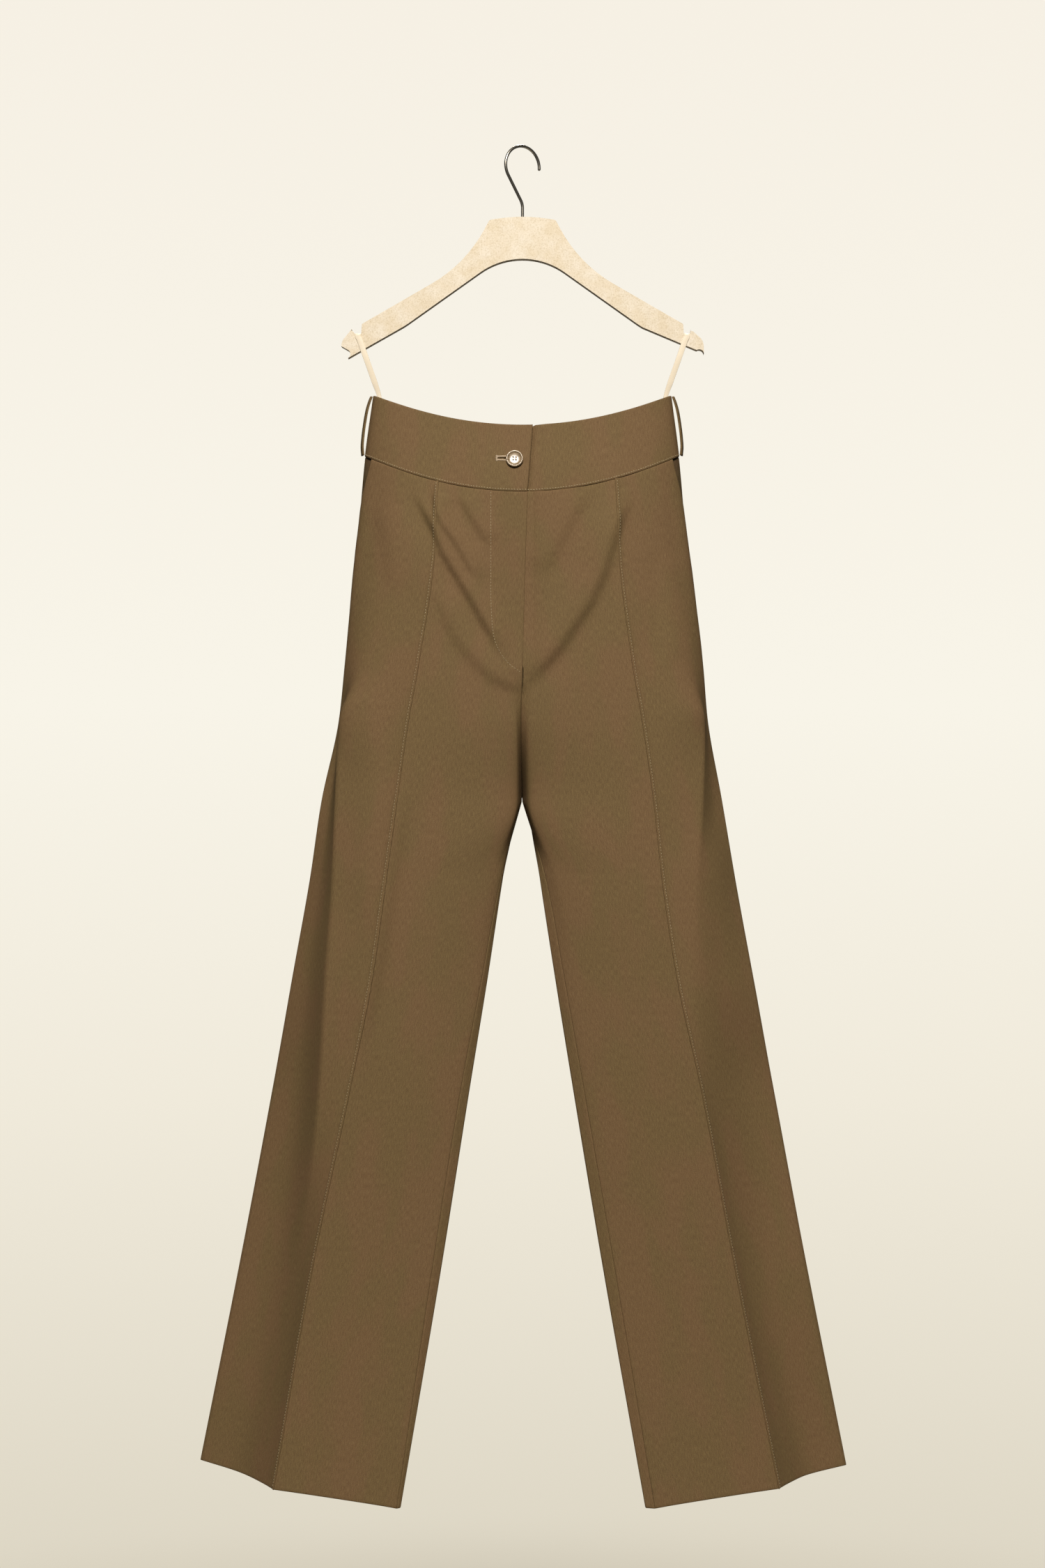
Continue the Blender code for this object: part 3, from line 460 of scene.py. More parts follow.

# %% [markdown]
# ## Folds
#
# Hung from two ribbons, the cloth is pulled from the waistband's ends towards the fly, and
# soft drag folds form.  A fold lit from above reads as a dark line where its lower flank
# turns down.  So each fold is drawn as that line, seen from the front, in x and
# drop: above it the cloth swells by the height, below it it sinks by a share of that.  The
# flank's half width sets how crisp it is, and the reach how far the swelling runs on.  All
# fade to nothing at both ends, as real ones do.

# %% Drag folds
Fold = namedtuple("Fold", "height flank reach path")
FRONT_FOLDS = (
    Fold(4.6, 4.6, 13, ((-120, 366), (-107, 393), (-95, 417), (-85, 442), (-70, 466),
                        (-52, 497), (-37, 523), (-26, 545), (-17, 560))),
    Fold(3.6, 4.2, 11, ((-97, 363), (-92, 397), (-85, 412), (-74, 427), (-63, 445),
                        (-53, 464), (-46, 478))),
    Fold(2.2, 5.0, 14, ((-70, 376), (-59, 397), (-48, 415), (-35, 434))),
    Fold(2.3, 7.0, 20, ((-95, 471), (-81, 515), (-66, 541), (-52, 556), (-33, 574),
                        (-7, 585), (13, 578))),
    Fold(4.8, 7.0, 22, ((-9, 590), (4, 584), (22, 563), (41, 541), (59, 515), (74, 493),
                        (89, 460), (96, 434), (103, 412), (111, 392), (121, 371))),
    Fold(2.2, 8.0, 22, ((75, 371), (55, 404), (37, 438), (19, 469))),
    Fold(1.3, 9.0, 20, ((-157, 386), (-146, 430), (-142, 482))),
    Fold(1.3, 10.0, 24, ((144, 430), (149, 489), (153, 563))),
    Fold(1.6, 12.0, 26, ((-149, 563), (-151, 666), (-157, 770), (-164, 836))),
    Fold(2.4, 9.0, 24, ((-117, 666), (-130, 755), (-143, 836), (-157, 917), (-167, 976))),
)
BACK_FOLDS = (
    Fold(2.4, 9.0, 24, ((-150, 596), (-84, 640), (-22, 676))),
    Fold(2.4, 9.0, 24, ((146, 588), (80, 644), (20, 680))),
    Fold(1.6, 10.0, 22, ((-128, 676), (-88, 716), (-50, 752))),
    Fold(1.6, 10.0, 22, ((132, 684), (92, 720), (54, 762))),
    Fold(1.2, 12.0, 26, ((-60, 420), (-40, 480), (-30, 540))),
    Fold(1.2, 12.0, 26, ((58, 410), (36, 470), (26, 548))),
)
FADE = 0.22                             # share of a fold's length over which it fades
SINK = 0.45                             # how far it sinks below the line, for its height


def fold_rise(folds, points):
    """How far the folds push the cloth out at these points, by x and drop."""
    x, drop = points[..., 0], -points[..., 2]
    rise = np.zeros_like(x)
    for fold in folds:
        path = np.array(fold.path, float)
        pieces = np.diff(path, axis=0)
        lengths = np.linalg.norm(pieces, axis=1)
        nearest, share, above = (np.full_like(x, v) for v in (1e9, 0, 0))
        for start, piece, length, before in zip(path, pieces, lengths,
                                                np.cumsum(lengths) - lengths):
            off_x, off_drop = x - start[0], drop - start[1]
            along = np.clip((off_x * piece[0] + off_drop * piece[1]) / length ** 2, 0, 1)
            away = np.hypot(off_x - along * piece[0], off_drop - along * piece[1])
            upward = -math.copysign(1, piece[0] or 1)
            signed = (off_drop * piece[0] - off_x * piece[1]) * upward
            closer = away < nearest
            nearest = np.where(closer, away, nearest)
            above = np.where(closer, np.sign(signed), above)
            share = np.where(closer, (before + along * length) / lengths.sum(), share)
        fade = ease(share, 0, FADE) * (1 - ease(share, 1 - FADE, 1))
        far = np.maximum(nearest - fold.flank, 0) / fold.reach
        turn = np.sin(np.pi / 2 * np.minimum(nearest / fold.flank, 1))
        middle = 0.5 * (1 - SINK)
        shape = (middle + 0.5 * (1 + SINK) * turn * above) * np.exp(-far ** 2)
        rise += fold.height * fade * shape
    return rise


print("folds:", len(FRONT_FOLDS), "front,", len(BACK_FOLDS), "back")

# %% [markdown]
# ## How a sewn edge is made
#
# At a seam two cloths meet face to face and turn in to the wrong side, so the outside shows
# a fine groove where both roll away.  Each panel's wall therefore doesn't just stop: it
# rolls over a small radius and runs inwards as a short seam allowance.  An edge profile
# lists, from the outside in, how far apart from the edge a column stands and how deep it
# lies, for the outer face and for the inner one.

# %% Edge profiles
WALL = 1.2                              # one panel, folded double at its edges
BAND_WALL = 2.0                         # the waistband, with its interlining
BAND_PROUD = 0.4                        # it stands this far out of the panels' skin
ALLOWANCE = 3.0                         # seam allowance, seen from inside
FOLDED = 1.6                            # depth of a folded free edge
SEAM_ROLL = ((0, 0.8), (0.25, 0.35), (0.8, 0.08), (1.6, 0))
ROLL_END = SEAM_ROLL[-1][0]
LIP = len(SEAM_ROLL) + 2                # columns of a seamed edge
# A turned edge of the waistband: distance from it, and the share of the wall that is closed.
BAND_EDGE = np.array(((0, 0.96), (0.2, 0.5), (0.8, 0.12), (1.8, 0)))


def seam_edge(allowance):
    """Columns of a seamed edge: apart outside and inside, sunk outside and inside."""
    half_way = 0.5 * allowance + 0.4
    rows = [(0, WALL, allowance, allowance + 0.02),
            (0, WALL, half_way, max(half_way, WALL + 0.2) + 0.01)]
    for k, (apart, sunk) in enumerate(SEAM_ROLL):
        rows.append((apart, WALL + apart, sunk, WALL + 0.1 * (k == 0)))
    return np.array(rows)


def spread(keys, counts):
    """Distances that pass through the keys, with so many steps from each to the next."""
    places = [keys[0]]
    for start, stop, count in zip(keys, keys[1:], counts):
        places.extend(start + (stop - start) * (step + 1) / count for step in range(count))
    return np.array(places)


def grain_map(across, drops):
    """Where each point lies on the flat cloth: across the grain, and along it."""
    across = np.array(across)
    return np.stack([across, np.broadcast_to(-drops[:, None], across.shape)], axis=-1)


def mesh_object(name, points, faces, material, grain=None):
    """A smooth object from points and faces, and a wall's grain as its UV map."""
    mesh = bpy.data.meshes.new(name)
    mesh.from_pydata((points.reshape(-1, 3) * MM).tolist(), [], faces)
    if grain is not None:
        work = bmesh.new()
        work.from_mesh(mesh)
        bmesh.ops.recalc_face_normals(work, faces=work.faces)
        work.to_mesh(mesh)
        work.free()
        corners = np.empty(len(mesh.loops), np.int32)
        mesh.loops.foreach_get("vertex_index", corners)
        flat = (grain.reshape(-1, 2) * MM)[corners]
        mesh.uv_layers.new(name="grain").data.foreach_set("uv", flat.ravel())
    mesh.materials.append(material)
    mesh.shade_smooth()
    made = bpy.data.objects.new(name, mesh)
    bpy.context.scene.collection.objects.link(made)
    return made


def cloth_object(name, outer, inner, grain, material):
    """A closed wall between two grids of points, with its grain as a UV map."""
    rows, columns = outer.shape[:2]
    count = rows * columns
    cell = np.arange(count).reshape(rows, columns)
    quads = np.stack([cell[:-1, :-1], cell[1:, :-1], cell[1:, 1:], cell[:-1, 1:]],
                     axis=-1).reshape(-1, 4)
    rim = np.r_[cell[:, 0], cell[-1, 1:], cell[-2::-1, -1], cell[0, -2:0:-1]]
    beside = np.roll(rim, -1)
    sides = np.stack([rim, rim + count, beside + count, beside], axis=-1)
    faces = np.vstack([quads, quads[:, ::-1] + count, sides]).tolist()
    return mesh_object(name, np.stack([outer, inner]), faces, material,
                       np.stack([grain, grain]))


def dress(made, slot, *nodes):
    """Hang a finished piece on the part, in place of CAD nodes if it stands for some."""
    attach(made, "root")
    if nodes:
        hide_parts(*nodes)
    print(made.name, len(made.data.polygons), "faces", "for" if nodes else "", *nodes)
    return made

# %% [markdown]
# ## Panels
#
# Two fronts and two backs.  Rows run from just behind the waistband down to the hem, whose
# allowance is folded up inside.  The front crease isn't only pressed: it is edge-stitched,
# a narrow tuck whose lip leans to the centre and throws a thin shadow there.

# %% Rows of a panel
HEM_ALLOWANCE, HEM_WALL = 38.0, 2.3
# Rows at the waist seam: drop from it, and depth behind the waistband.
WAIST_TUCK = np.array(((-4.0, 2.0), (-0.6, 1.75), (0.15, 0.55), (1.0, 0.12), (2.0, 0)))
# Rows at the hem: drop above it, and the share of the wall that is closed.
HEM_TURN = np.array(((1.6, 0), (0.9, 0.2), (0.3, 0.6), (0, 0.96)))
HEM_FOLD = HEM - HEM_ALLOWANCE
# Rows between: from, to and how many, closer where the folds lie.
ROW_RUNS = ((WAIST + 5, 620, 86), (624, HEM_FOLD - 2, 176), (HEM_FOLD + 0.5, HEM - 4, 9))


def panel_rows():
    """Drops, extra depths, closing shares and walls of a panel's rows."""
    drops = np.r_[WAIST + WAIST_TUCK[:, 0],
                  np.concatenate([np.linspace(*between) for between in ROW_RUNS]),
                  HEM - HEM_TURN[:, 0]]
    sunk, closed = np.zeros(len(drops)), np.zeros(len(drops))
    sunk[:len(WAIST_TUCK)] = WAIST_TUCK[:, 1]
    closed[-len(HEM_TURN):] = HEM_TURN[:, 1]
    return drops, sunk, closed, np.where(drops > HEM_FOLD, HEM_WALL, WALL)


PANEL_ROWS = panel_rows()
print("panel rows:", len(PANEL_ROWS[0]))

# %% Fly, pocket and tuck of a front
FLY_TOP, FLY_FOOT, FLY_OVER = 372.0, 566.0, 5.2
FLY_UNDER, FLY_UNDER_END = 12.0, 530.0
# The right front lies back under the fly, and sinks into a groove along the fly's edge.
UNDER_DEEP, UNDER_RISE = 1.6, (FLY_OVER + 2, FLY_OVER + 18)
GROOVE_DEEP, GROOVE_RISE, GROOVE_FADE = 6.5, (-0.5, 4.0), 34.0
POCKET_MOUTH, POCKET_FOOT = 16.0, 557.0
# Across the stitched crease, from the centre's side: place, shift along it, and rise.
TUCK = ((-3.0, 0, 0), (-1.7, 0, -0.1), (-1.0, 0, -0.15), (-0.7, -0.05, 0.1),
        (-0.55, -0.4, 0.7), (-0.35, -0.5, 1.15), (0, -0.35, 1.4), (0.6, 0, 1.35),
        (1.5, 0, 0.95), (2.6, 0, 0.35), (3.8, 0, 0))
TUCK_PLACES = [place for place, _, _ in TUCK]
FRONT_COUNTS = (5, 26)                  # columns before the tuck
FRONT_COUNTS_OUT = (16, 6, 12, 5)       # and after it


def fly_edge(drop):
    """Where the left front's open edge stands, past the centre if below zero."""
    return -FLY_OVER * np.maximum((FLY_FOOT - drop) / (FLY_FOOT - FLY_TOP), 0)


def front_start(row):
    """Distance of a front's inner edge from the centre front, along the cloth."""
    if row.side == LEFT:
        return fly_edge(row.drop)
    return -fly_edge(row.drop) - FLY_UNDER * (1 - ease(row.drop, FLY_UNDER_END, FLY_FOOT))


def pocket_width(drop):
    """Pocket edge to side seam, nothing below the pocket's foot."""
    return POCKET_MOUTH * max(0, (POCKET_FOOT - drop) / (POCKET_FOOT - WAIST))


def front_stop(row):
    return row.knots[SEAM] - pocket_width(row.drop)


def front_inside(row):
    """Places of a front's columns between its rolled edges."""
    k = row.knots
    start, stop = front_start(row) + ROLL_END, front_stop(row) - ROLL_END
    shrink = (stop - k[VALLEY]) / (k[SEAM] - k[VALLEY])
    edge = k[VALLEY] + (k[EDGE] - k[VALLEY]) * shrink
    turn = max(k[TURN], start + 2)
    before = spread((start, turn, k[CREASE] + TUCK_PLACES[0]), FRONT_COUNTS)
    inside = k[CREASE] + np.array(TUCK_PLACES[1:-1])
    after = spread((k[CREASE] + TUCK_PLACES[-1], k[CREST], k[VALLEY], edge, stop),
                   FRONT_COUNTS_OUT)
    return np.r_[before, inside, after]


def front_allowances(drop):
    """Allowances at the fly and at the side: folded edges that turn into seams lower down."""
    return [FOLDED + (ALLOWANCE - FOLDED) * ease(drop, start, stop)
            for start, stop in ((FLY_FOOT - 6, FLY_FOOT + 10), (POCKET_FOOT - 30, POCKET_FOOT))]

# %% [markdown]
# The panel builder takes the skin at the columns' places, sinks it where edges roll and
# raises or sinks it along the folds.  The same places, moved in by the wall, give the inner face, so that the
# cloth keeps its thickness everywhere and closes at the rim.

# %% Panel builder
def panel(side, word, kind, inside, start, stop, allowances, folds, zero, extra=None):
    """A panel: inside(row) gives its columns, start and stop its edges, zero its grain line.

    allowances(drop) gives the two seam allowances, and extra(drops, points, normals, ways)
    moves the outer skin between the edges, by vectors.
    """
    drops, row_sunk, closed, walls = PANEL_ROWS

    def places(row, face=0):
        near, far = (seam_edge(a) for a in allowances(row.drop))
        return np.r_[start(row) + near[:, face], inside(row)[1:-1],
                     (stop(row) - far[:, face])[::-1]]

    points, normals, ways = skin(side, drops, places)
    under, under_normals, _ = skin(side, drops, lambda row: places(row, 1))
    sunk, sunk_in = np.zeros(points.shape[:2]), np.zeros(points.shape[:2])
    sunk_in += walls[:, None]
    for j, drop in enumerate(drops):
        near, far = (seam_edge(a) for a in allowances(drop))
        sunk[j, :LIP], sunk[j, -LIP:] = near[:, 2], far[::-1, 2]
        sunk_in[j, :LIP], sunk_in[j, -LIP:] = near[:, 3], far[::-1, 3]
    pressed = -fold_rise(folds, points)
    sunk += (row_sunk + 0.5 * walls * closed)[:, None]
    sunk_in += (row_sunk - 0.5 * walls * closed)[:, None]
    sunk_in = np.maximum(sunk_in, sunk + 0.05)
    outer = points - normals * (sunk + pressed)[..., None]
    if extra:
        outer += extra(drops, points, normals, ways)
    inner = under - under_normals * (sunk_in + pressed)[..., None]
    rows = [Row(side, drop) for drop in drops]
    grain = grain_map([side * (places(row) - zero(row)) for row in rows], drops)
    dress(cloth_object(f"{word}_{kind}_panel", outer, inner, grain, WOOL_TWILL), "twill",
          f"{kind}_{word}")


def tuck_and_underlap(drops, points, normals, ways):
    """The stitched crease, and the right front's dip under the fly."""
    moved = np.zeros_like(points)
    first = LIP - 1 + sum(FRONT_COUNTS)
    middle = first + TUCK_PLACES.index(0)
    for k, (_, shift, rise) in enumerate(TUCK):
        moved[:, first + k] = ways[:, middle] * shift + normals[:, middle] * rise
    along = points[..., 0]
    if along.mean() > 0:                # the viewer's right
        edge, (near, far) = -fly_edge(drops)[:, None], GROOVE_RISE
        dip = (UNDER_DEEP * (1 - ease(along, *UNDER_RISE))
               + GROOVE_DEEP * (1 - ease(along, edge + near, edge + far)))
        dip *= (1 - ease(drops, FLY_FOOT, FLY_FOOT + GROOVE_FADE))[:, None]
        moved -= normals * dip[..., None]
    return moved


for side, word in SIDES:
    panel(side, word, "front", front_inside, front_start, front_stop, front_allowances,
          FRONT_FOLDS, lambda row: row.knots[CREASE], tuck_and_underlap)

# %% Backs
BACK_COUNTS = (9, 14, 14, 10, 6)        # columns from the side seam to the centre


def back_inside(row):
    k = row.knots
    return spread((k[SEAM] + ROLL_END, k[OUTER], k[BCREASE], k[BINNER], k[HOLLOW],
                   k[CENTRE] - ROLL_END), BACK_COUNTS)


for side, word in SIDES:
    panel(side, word, "back", back_inside, lambda row: row.knots[SEAM],
          lambda row: row.knots[CENTRE], lambda drop: (ALLOWANCE, ALLOWANCE), BACK_FOLDS,
          lambda row: row.knots[BCREASE])

# %% [markdown]
# ## Pockets
#
# Each slant pocket gapes a little at the side, so a small triangle of its facing shows in
# shadow.  The facing is a strip of the same twill that hangs behind the front's folded edge
# and comes forward to the side seam, where it is sewn in.  Its twill is a darker copy, whose
# colour is painted shade.

# %% Pocket facings
FACING_HIDDEN, FACING_FOOT = 22.0, 495.0
FACING_WALL, FACING_NEAR, FACING_UNDER_BAND = 0.9, 0.5, 1.6
FACING_BACK = WALL + FACING_WALL        # how much deeper it hangs behind the pocket's edge


def pocket_facing(side, name):
    drops = np.linspace(WAIST - 3, FACING_FOOT, 40)

    def places(row):
        seam = row.knots[SEAM]
        edge = seam - pocket_width(row.drop)
        return spread((edge - FACING_HIDDEN, edge, seam), (8, 12))

    points, normals, _ = skin(side, drops, places)
    rows = [Row(side, drop) for drop in drops]
    across = [places(row) for row in rows]
    sunk = np.array([
        FACING_NEAR + FACING_UNDER_BAND * (row.drop < WAIST)
        + FACING_BACK * ease(row.knots[SEAM] - along, 0.5, 0.75 * pocket_width(row.drop))
        for row, along in zip(rows, across)])[..., None]
    return cloth_object(name, points - normals * sunk, points - normals * (sunk + FACING_WALL),
                        # The facing wears the darker twill, whose colour is painted shade.
                        grain_map(across, drops), TWILL_IN_PAINTED_SHADE)


for side, word in SIDES:
    dress(pocket_facing(side, f"{word}_pocket_facing"), "twill", f"pocket_facing_{word}")

# %% [markdown]
# ## Waistband
#
# A contoured waistband is cut to the body's curve: two fronts that overlap under the button
# and one back.  It is doubled cloth over an interlining, so it is firm, its edges are round,
# and its lower edge stands a little proud of the panels along the stitched waist seam.

# %% Waistband
# How far the upper end reaches past the centre front at its top and foot, and the lower end.
BAND_OVER_TOP, BAND_OVER_FOOT, BAND_UNDER = 11.0, 5.2, 20.0
# The lower end lies back under the upper one, and sinks into a groove along its edge.
BAND_UNDER_DEEP, BAND_UNDER_RISE = BAND_WALL + 0.1, (BAND_OVER_TOP + 1.5, BAND_OVER_TOP + 16)
BAND_GROOVE_DEEP, BAND_GROOVE_RISE = 4.5, (-0.5, 3.5)
BAND_COUNTS, BAND_COUNTS_BACK = (12, 24, 24, 5), (14, 16, 20, 4)

band_middle = np.linspace(BAND_TOP + 3.2, WAIST - 3.2, 24)
BAND_DROPS = np.r_[BAND_TOP + BAND_EDGE[:, 0], band_middle, (WAIST - BAND_EDGE[:, 0])[::-1]]
BAND_CLOSED = np.r_[BAND_EDGE[:, 1], np.zeros(len(band_middle)), BAND_EDGE[::-1, 1]]


def band_over(drop):
    """How far the upper end reaches past the centre front at a drop."""
    share = (drop - BAND_TOP) / (WAIST - BAND_TOP)
    return BAND_OVER_TOP + (BAND_OVER_FOOT - BAND_OVER_TOP) * share


def band_under(along):
    """How deep the lower end lies back under the upper one."""
    return BAND_UNDER_DEEP * (1 - ease(along, *BAND_UNDER_RISE))


def band(name, points, normals, across, dip=0.0):
    """A waistband piece from its skin, closed along its edges and at its ends."""
    ends = np.zeros(points.shape[1])
    ends[:len(BAND_EDGE)], ends[-len(BAND_EDGE):] = BAND_EDGE[:, 1], BAND_EDGE[::-1, 1]
    closed = 1 - (1 - BAND_CLOSED[:, None]) * (1 - ends)
    sunk = 0.5 * BAND_WALL * closed - BAND_PROUD + dip
    deep = np.maximum(BAND_WALL * (1 - 0.5 * closed) - BAND_PROUD + dip, sunk + 0.04)
    return cloth_object(name, points - normals * sunk[..., None],
                        points - normals * deep[..., None], grain_map(across, BAND_DROPS),
                        WOOL_TWILL)


def waistband_front(side, name):
    def places(row):
        k = row.knots
        start = -band_over(row.drop) if side == LEFT else -BAND_UNDER
        inside = spread((start + 3, BAND_OVER_TOP + 6, k[CREASE], k[EDGE] - 4, k[SEAM] - 3),
                        BAND_COUNTS)
        return np.r_[start + BAND_EDGE[:, 0], inside, (k[SEAM] - BAND_EDGE[:, 0])[::-1]]

    points, normals, _ = skin(side, BAND_DROPS, places, creased=False)
    along = np.array([places(Row(side, drop, False)) for drop in BAND_DROPS])
    dip = 0.0
    if side == RIGHT:
        over, (near, far) = band_over(BAND_DROPS)[:, None], BAND_GROOVE_RISE
        dip = band_under(along) + BAND_GROOVE_DEEP * (1 - ease(along, over + near, over + far))
    return band(name, points, normals, side * along, dip)


def waistband_back(name):
    def places(row):
        k = row.knots
        return np.r_[k[SEAM] + BAND_EDGE[:, 0],
                     spread((k[SEAM] + 3, k[OUTER], k[BCREASE], k[HOLLOW], k[CENTRE]),
                            BAND_COUNTS_BACK)]

    halves = [skin(side, BAND_DROPS, places, creased=False)[:2] for side in (LEFT, RIGHT)]
    points, normals = (np.concatenate([left, right[:, -2::-1]], axis=1)
                       for left, right in zip(*halves))
    across = []
    for drop in BAND_DROPS:
        left, right = (places(Row(side, drop, False)) for side in (LEFT, RIGHT))
        across.append(np.r_[left - left[-1], (right[-1] - right)[-2::-1]])
    return band(name, points, normals, across)


dress(waistband_front(LEFT, "waistband_left"), "twill", "waistband_front_over")
dress(waistband_front(RIGHT, "waistband_right"), "twill", "waistband_front_under")
dress(waistband_back("waistband_rear"), "twill", "waistband_back")

# %% [markdown]
# ## Straps
#
# Belt loops and ribbons are flat strips with soft edges.  One function sweeps a rounded
# rectangle along a smooth path and gives it a UV map along its length, since both materials
# run with the strip.

# %% Strap builder
STRAP_CORNER = ((1, 0.35), (0.97, 0.75), (0.9, 1))  # of half the width and half the wall


def strap(name, route, widths, wall, across, material, step=1.2):
    """A strip along a smooth curve through the route, as wide as near to across."""
    route = np.array(route, float)
    knots = run(route)
    along = np.linspace(0, knots[-1], int(knots[-1] / step))
    middle = smooth(knots, route, along)
    wide_at = np.interp(along, knots, widths)[:, None, None]
    corner = np.array(STRAP_CORNER)
    quarter = np.vstack([corner, corner[::-1] * (-1, 1)])
    profile = np.vstack([quarter, -quarter])
    tangents = unit(np.gradient(middle, axis=0))
    wide = unit(across - (tangents @ across)[:, None] * tangents)
    deep = np.cross(tangents, wide)
    flat = profile[:, :1] * wide_at / 2
    points = middle[:, None] + wide[:, None] * flat + deep[:, None] * (profile[:, 1:] * wall / 2)
    rows, columns = points.shape[:2]
    cell = np.arange(rows * columns).reshape(rows, columns)
    beside = np.roll(cell, -1, axis=1)
    faces = np.stack([cell[:-1], beside[:-1], beside[1:], cell[1:]], axis=-1).reshape(-1, 4)
    ends = [cell[0, ::-1].tolist(), cell[-1].tolist()]
    grain = np.concatenate([flat, np.broadcast_to(along[:, None, None], flat.shape)], axis=-1)
    return mesh_object(name, points, faces.tolist() + ends, material, grain)

# %% Belt loops
LOOP_WIDE, LOOP_WALL, LOOP_TURN, LOOP_FORWARD = 10.0, 1.8, 14.0, 1.5
# How far a loop stands out of the side seam, and its drop.
LOOP_ROUTE = ((1.9, 268.2), (3.4, 274), (4.8, 284), (5.3, 297), (5.2, 311), (4.5, 322),
              (2.6, 331.5))
for side, word in SIDES:
    top, foot = (Section(side, drop, False).points[SEAM][0] for drop in (BAND_TOP, WAIST))
    share = [(drop - LEVELS[0].drop_out) / (LEVELS[1].drop_out - LEVELS[0].drop_out)
             for _, drop in LOOP_ROUTE]
    route = [(side * (top + (foot - top) * s + out), -LOOP_FORWARD, -drop)
             for s, (out, drop) in zip(share, LOOP_ROUTE)]
    turn = math.radians(LOOP_TURN)
    across = np.array((side * math.sin(turn), math.cos(turn), 0))
    dress(strap(f"{word}_belt_loop", route, [LOOP_WIDE] * len(route), LOOP_WALL, across,
                WOOL_TWILL), "twill", f"belt_loop_{word}")

# %% [markdown]
# ## Ribbons
#
# The garment hangs by two loops of narrow satin ribbon, sewn inside the waistband and laid
# over notches in the hanger.  Satin floats its yarns over many others, so it is smooth and
# shines along them: a low roughness and a little anisotropy show that.

# %% Satin ribbons
SATIN_YARN = 0.5                        # real yarns lie 0.1 mm apart
satin, tree, shader = new_material("Woven satin ribbon", Roughness=0.38, Sheen_Weight=0.15,
                                   Anisotropic=0.4)
yarns = add(tree, "TexWave", {"bands_direction": "X"}, "Fac",
            Vector=add(tree, "UVMap", {"uv_map": "grain"}),
            Scale=WAVES / (SATIN_YARN * MM), Distortion=0.4)
feed(shader, Base_Color=ramp(tree, yarns, (0.0, "e6dcc8"), (1.0, "f1e9da")),
     Normal=add(tree, "Bump", Height=yarns, Strength=0.15, Distance=0.05 * MM))

HANGER_THICK, NOTCH_FLOOR, NOTCH_MIDDLE = 12.0, 201.8, 176.7
RIBBON_WIDE, RIBBON_FOOT_WIDE, RIBBON_WALL = 6.0, 4.6, 0.8
RIBBON_CLEAR = 0.3 + RIBBON_WALL / 2    # from the hanger to the ribbon's middle
RIBBON_FACE, RIBBON_FLOOR = HANGER_THICK / 2 + RIBBON_CLEAR, NOTCH_FLOOR - RIBBON_CLEAR
# Up from the waistband to the notch: out, depth and drop.
RIBBON_RISE = ((151.0, 2.6, 287), (154.4, 3.0, 267), (159.4, 4.6, 252),
               (169.6, RIBBON_FACE, 223), (174.6, RIBBON_FACE, 208.5),
               (NOTCH_MIDDLE, RIBBON_FACE, 203.4))
RIBBON_BEND = ((0, 0.8), (0.2, 0.2), (0.8, 0), (2.2, 0))    # over the notch's edge
for side, word in SIDES:
    half = list(RIBBON_RISE) + [(NOTCH_MIDDLE, RIBBON_FACE - back, RIBBON_FLOOR + down)
                                for back, down in RIBBON_BEND]
    route = [(side * out, -depth, -drop) for out, depth, drop in half]
    route += [(side * out, depth, -drop) for out, depth, drop in reversed(half)]
    widths = [RIBBON_FOOT_WIDE] * 2 + [RIBBON_WIDE] * (len(half) - 2)
    dress(strap(f"{word}_ribbon", route, widths + widths[::-1], RIBBON_WALL,
                np.array((1.0, 0, 0)), satin, step=0.8), "satin", f"ribbon_loop_{word}")

# %% [markdown]
# ## Hanger
#
# The hanger is cut from a board of pressed, speckled plastic and its edges are rounded.  Its
# outline is drawn point by point as one would by hand, each corner an arc, then filled and
# extruded.  A bevel rounds the edges, and weighted normals keep the flat faces flat.

# %% Outline of the hanger
# From the top of the neck out to the tip and back under the arm: out, drop, radius.
HANGER_OUTLINE = (
    (0, 73, 180), (35.5, 78.8, 4), (60.8, 126, 150), (172.6, 190.6, 2),
    (173.4, 201.8, 0.8), (180.0, 201.8, 0.8), (181.4, 193.5, 1.5), (194.6, 209.5, 14),
    (195.2, 231.5, 5), (126, 192.3, 80), (0, 102.9, 78),
)
ARC_STEP = 4.0


def rounded(corners):
    """Points of a closed outline whose corners are arcs of the given radii."""
    points = []
    for i, (x, z, radius) in enumerate(corners):
        here = Vector((x, z))
        back_way = (Vector(corners[i - 1][:2]) - here).normalized()
        on_way = (Vector(corners[(i + 1) % len(corners)][:2]) - here).normalized()
        half = back_way.angle(on_way) / 2
        centre = here + (back_way + on_way).normalized() * radius / math.sin(half)
        start = here + back_way * radius / math.tan(half) - centre
        sweep = math.pi - 2 * half
        way = 1 if start.x * on_way.y - start.y * on_way.x > 0 else -1
        steps = max(3, round(math.degrees(sweep) / ARC_STEP))
        for k in range(steps + 1):
            spoke = start.copy()
            spoke.rotate(Matrix.Rotation(way * sweep * k / steps, 2))
            points.append(centre + spoke)
    return points


half = [(x, -drop, radius) for x, drop, radius in HANGER_OUTLINE]
outline = rounded(half + [(-x, z, radius) for x, z, radius in reversed(half[1:-1])])
print("hanger outline:", len(outline), "points")

# %% Hanger board
HANGER_EDGE = 1.5


def start_with(name, primitive, **settings):
    """A primitive with a name, in edit mode and all of it selected."""
    bpy.ops.object.select_all(action="DESELECT")
    getattr(bpy.ops.mesh, f"primitive_{primitive}_add")(**settings)
    bpy.context.active_object.name = name
    bpy.ops.object.mode_set(mode="EDIT")
    bpy.ops.mesh.select_all(action="SELECT")
    return bpy.context.active_object


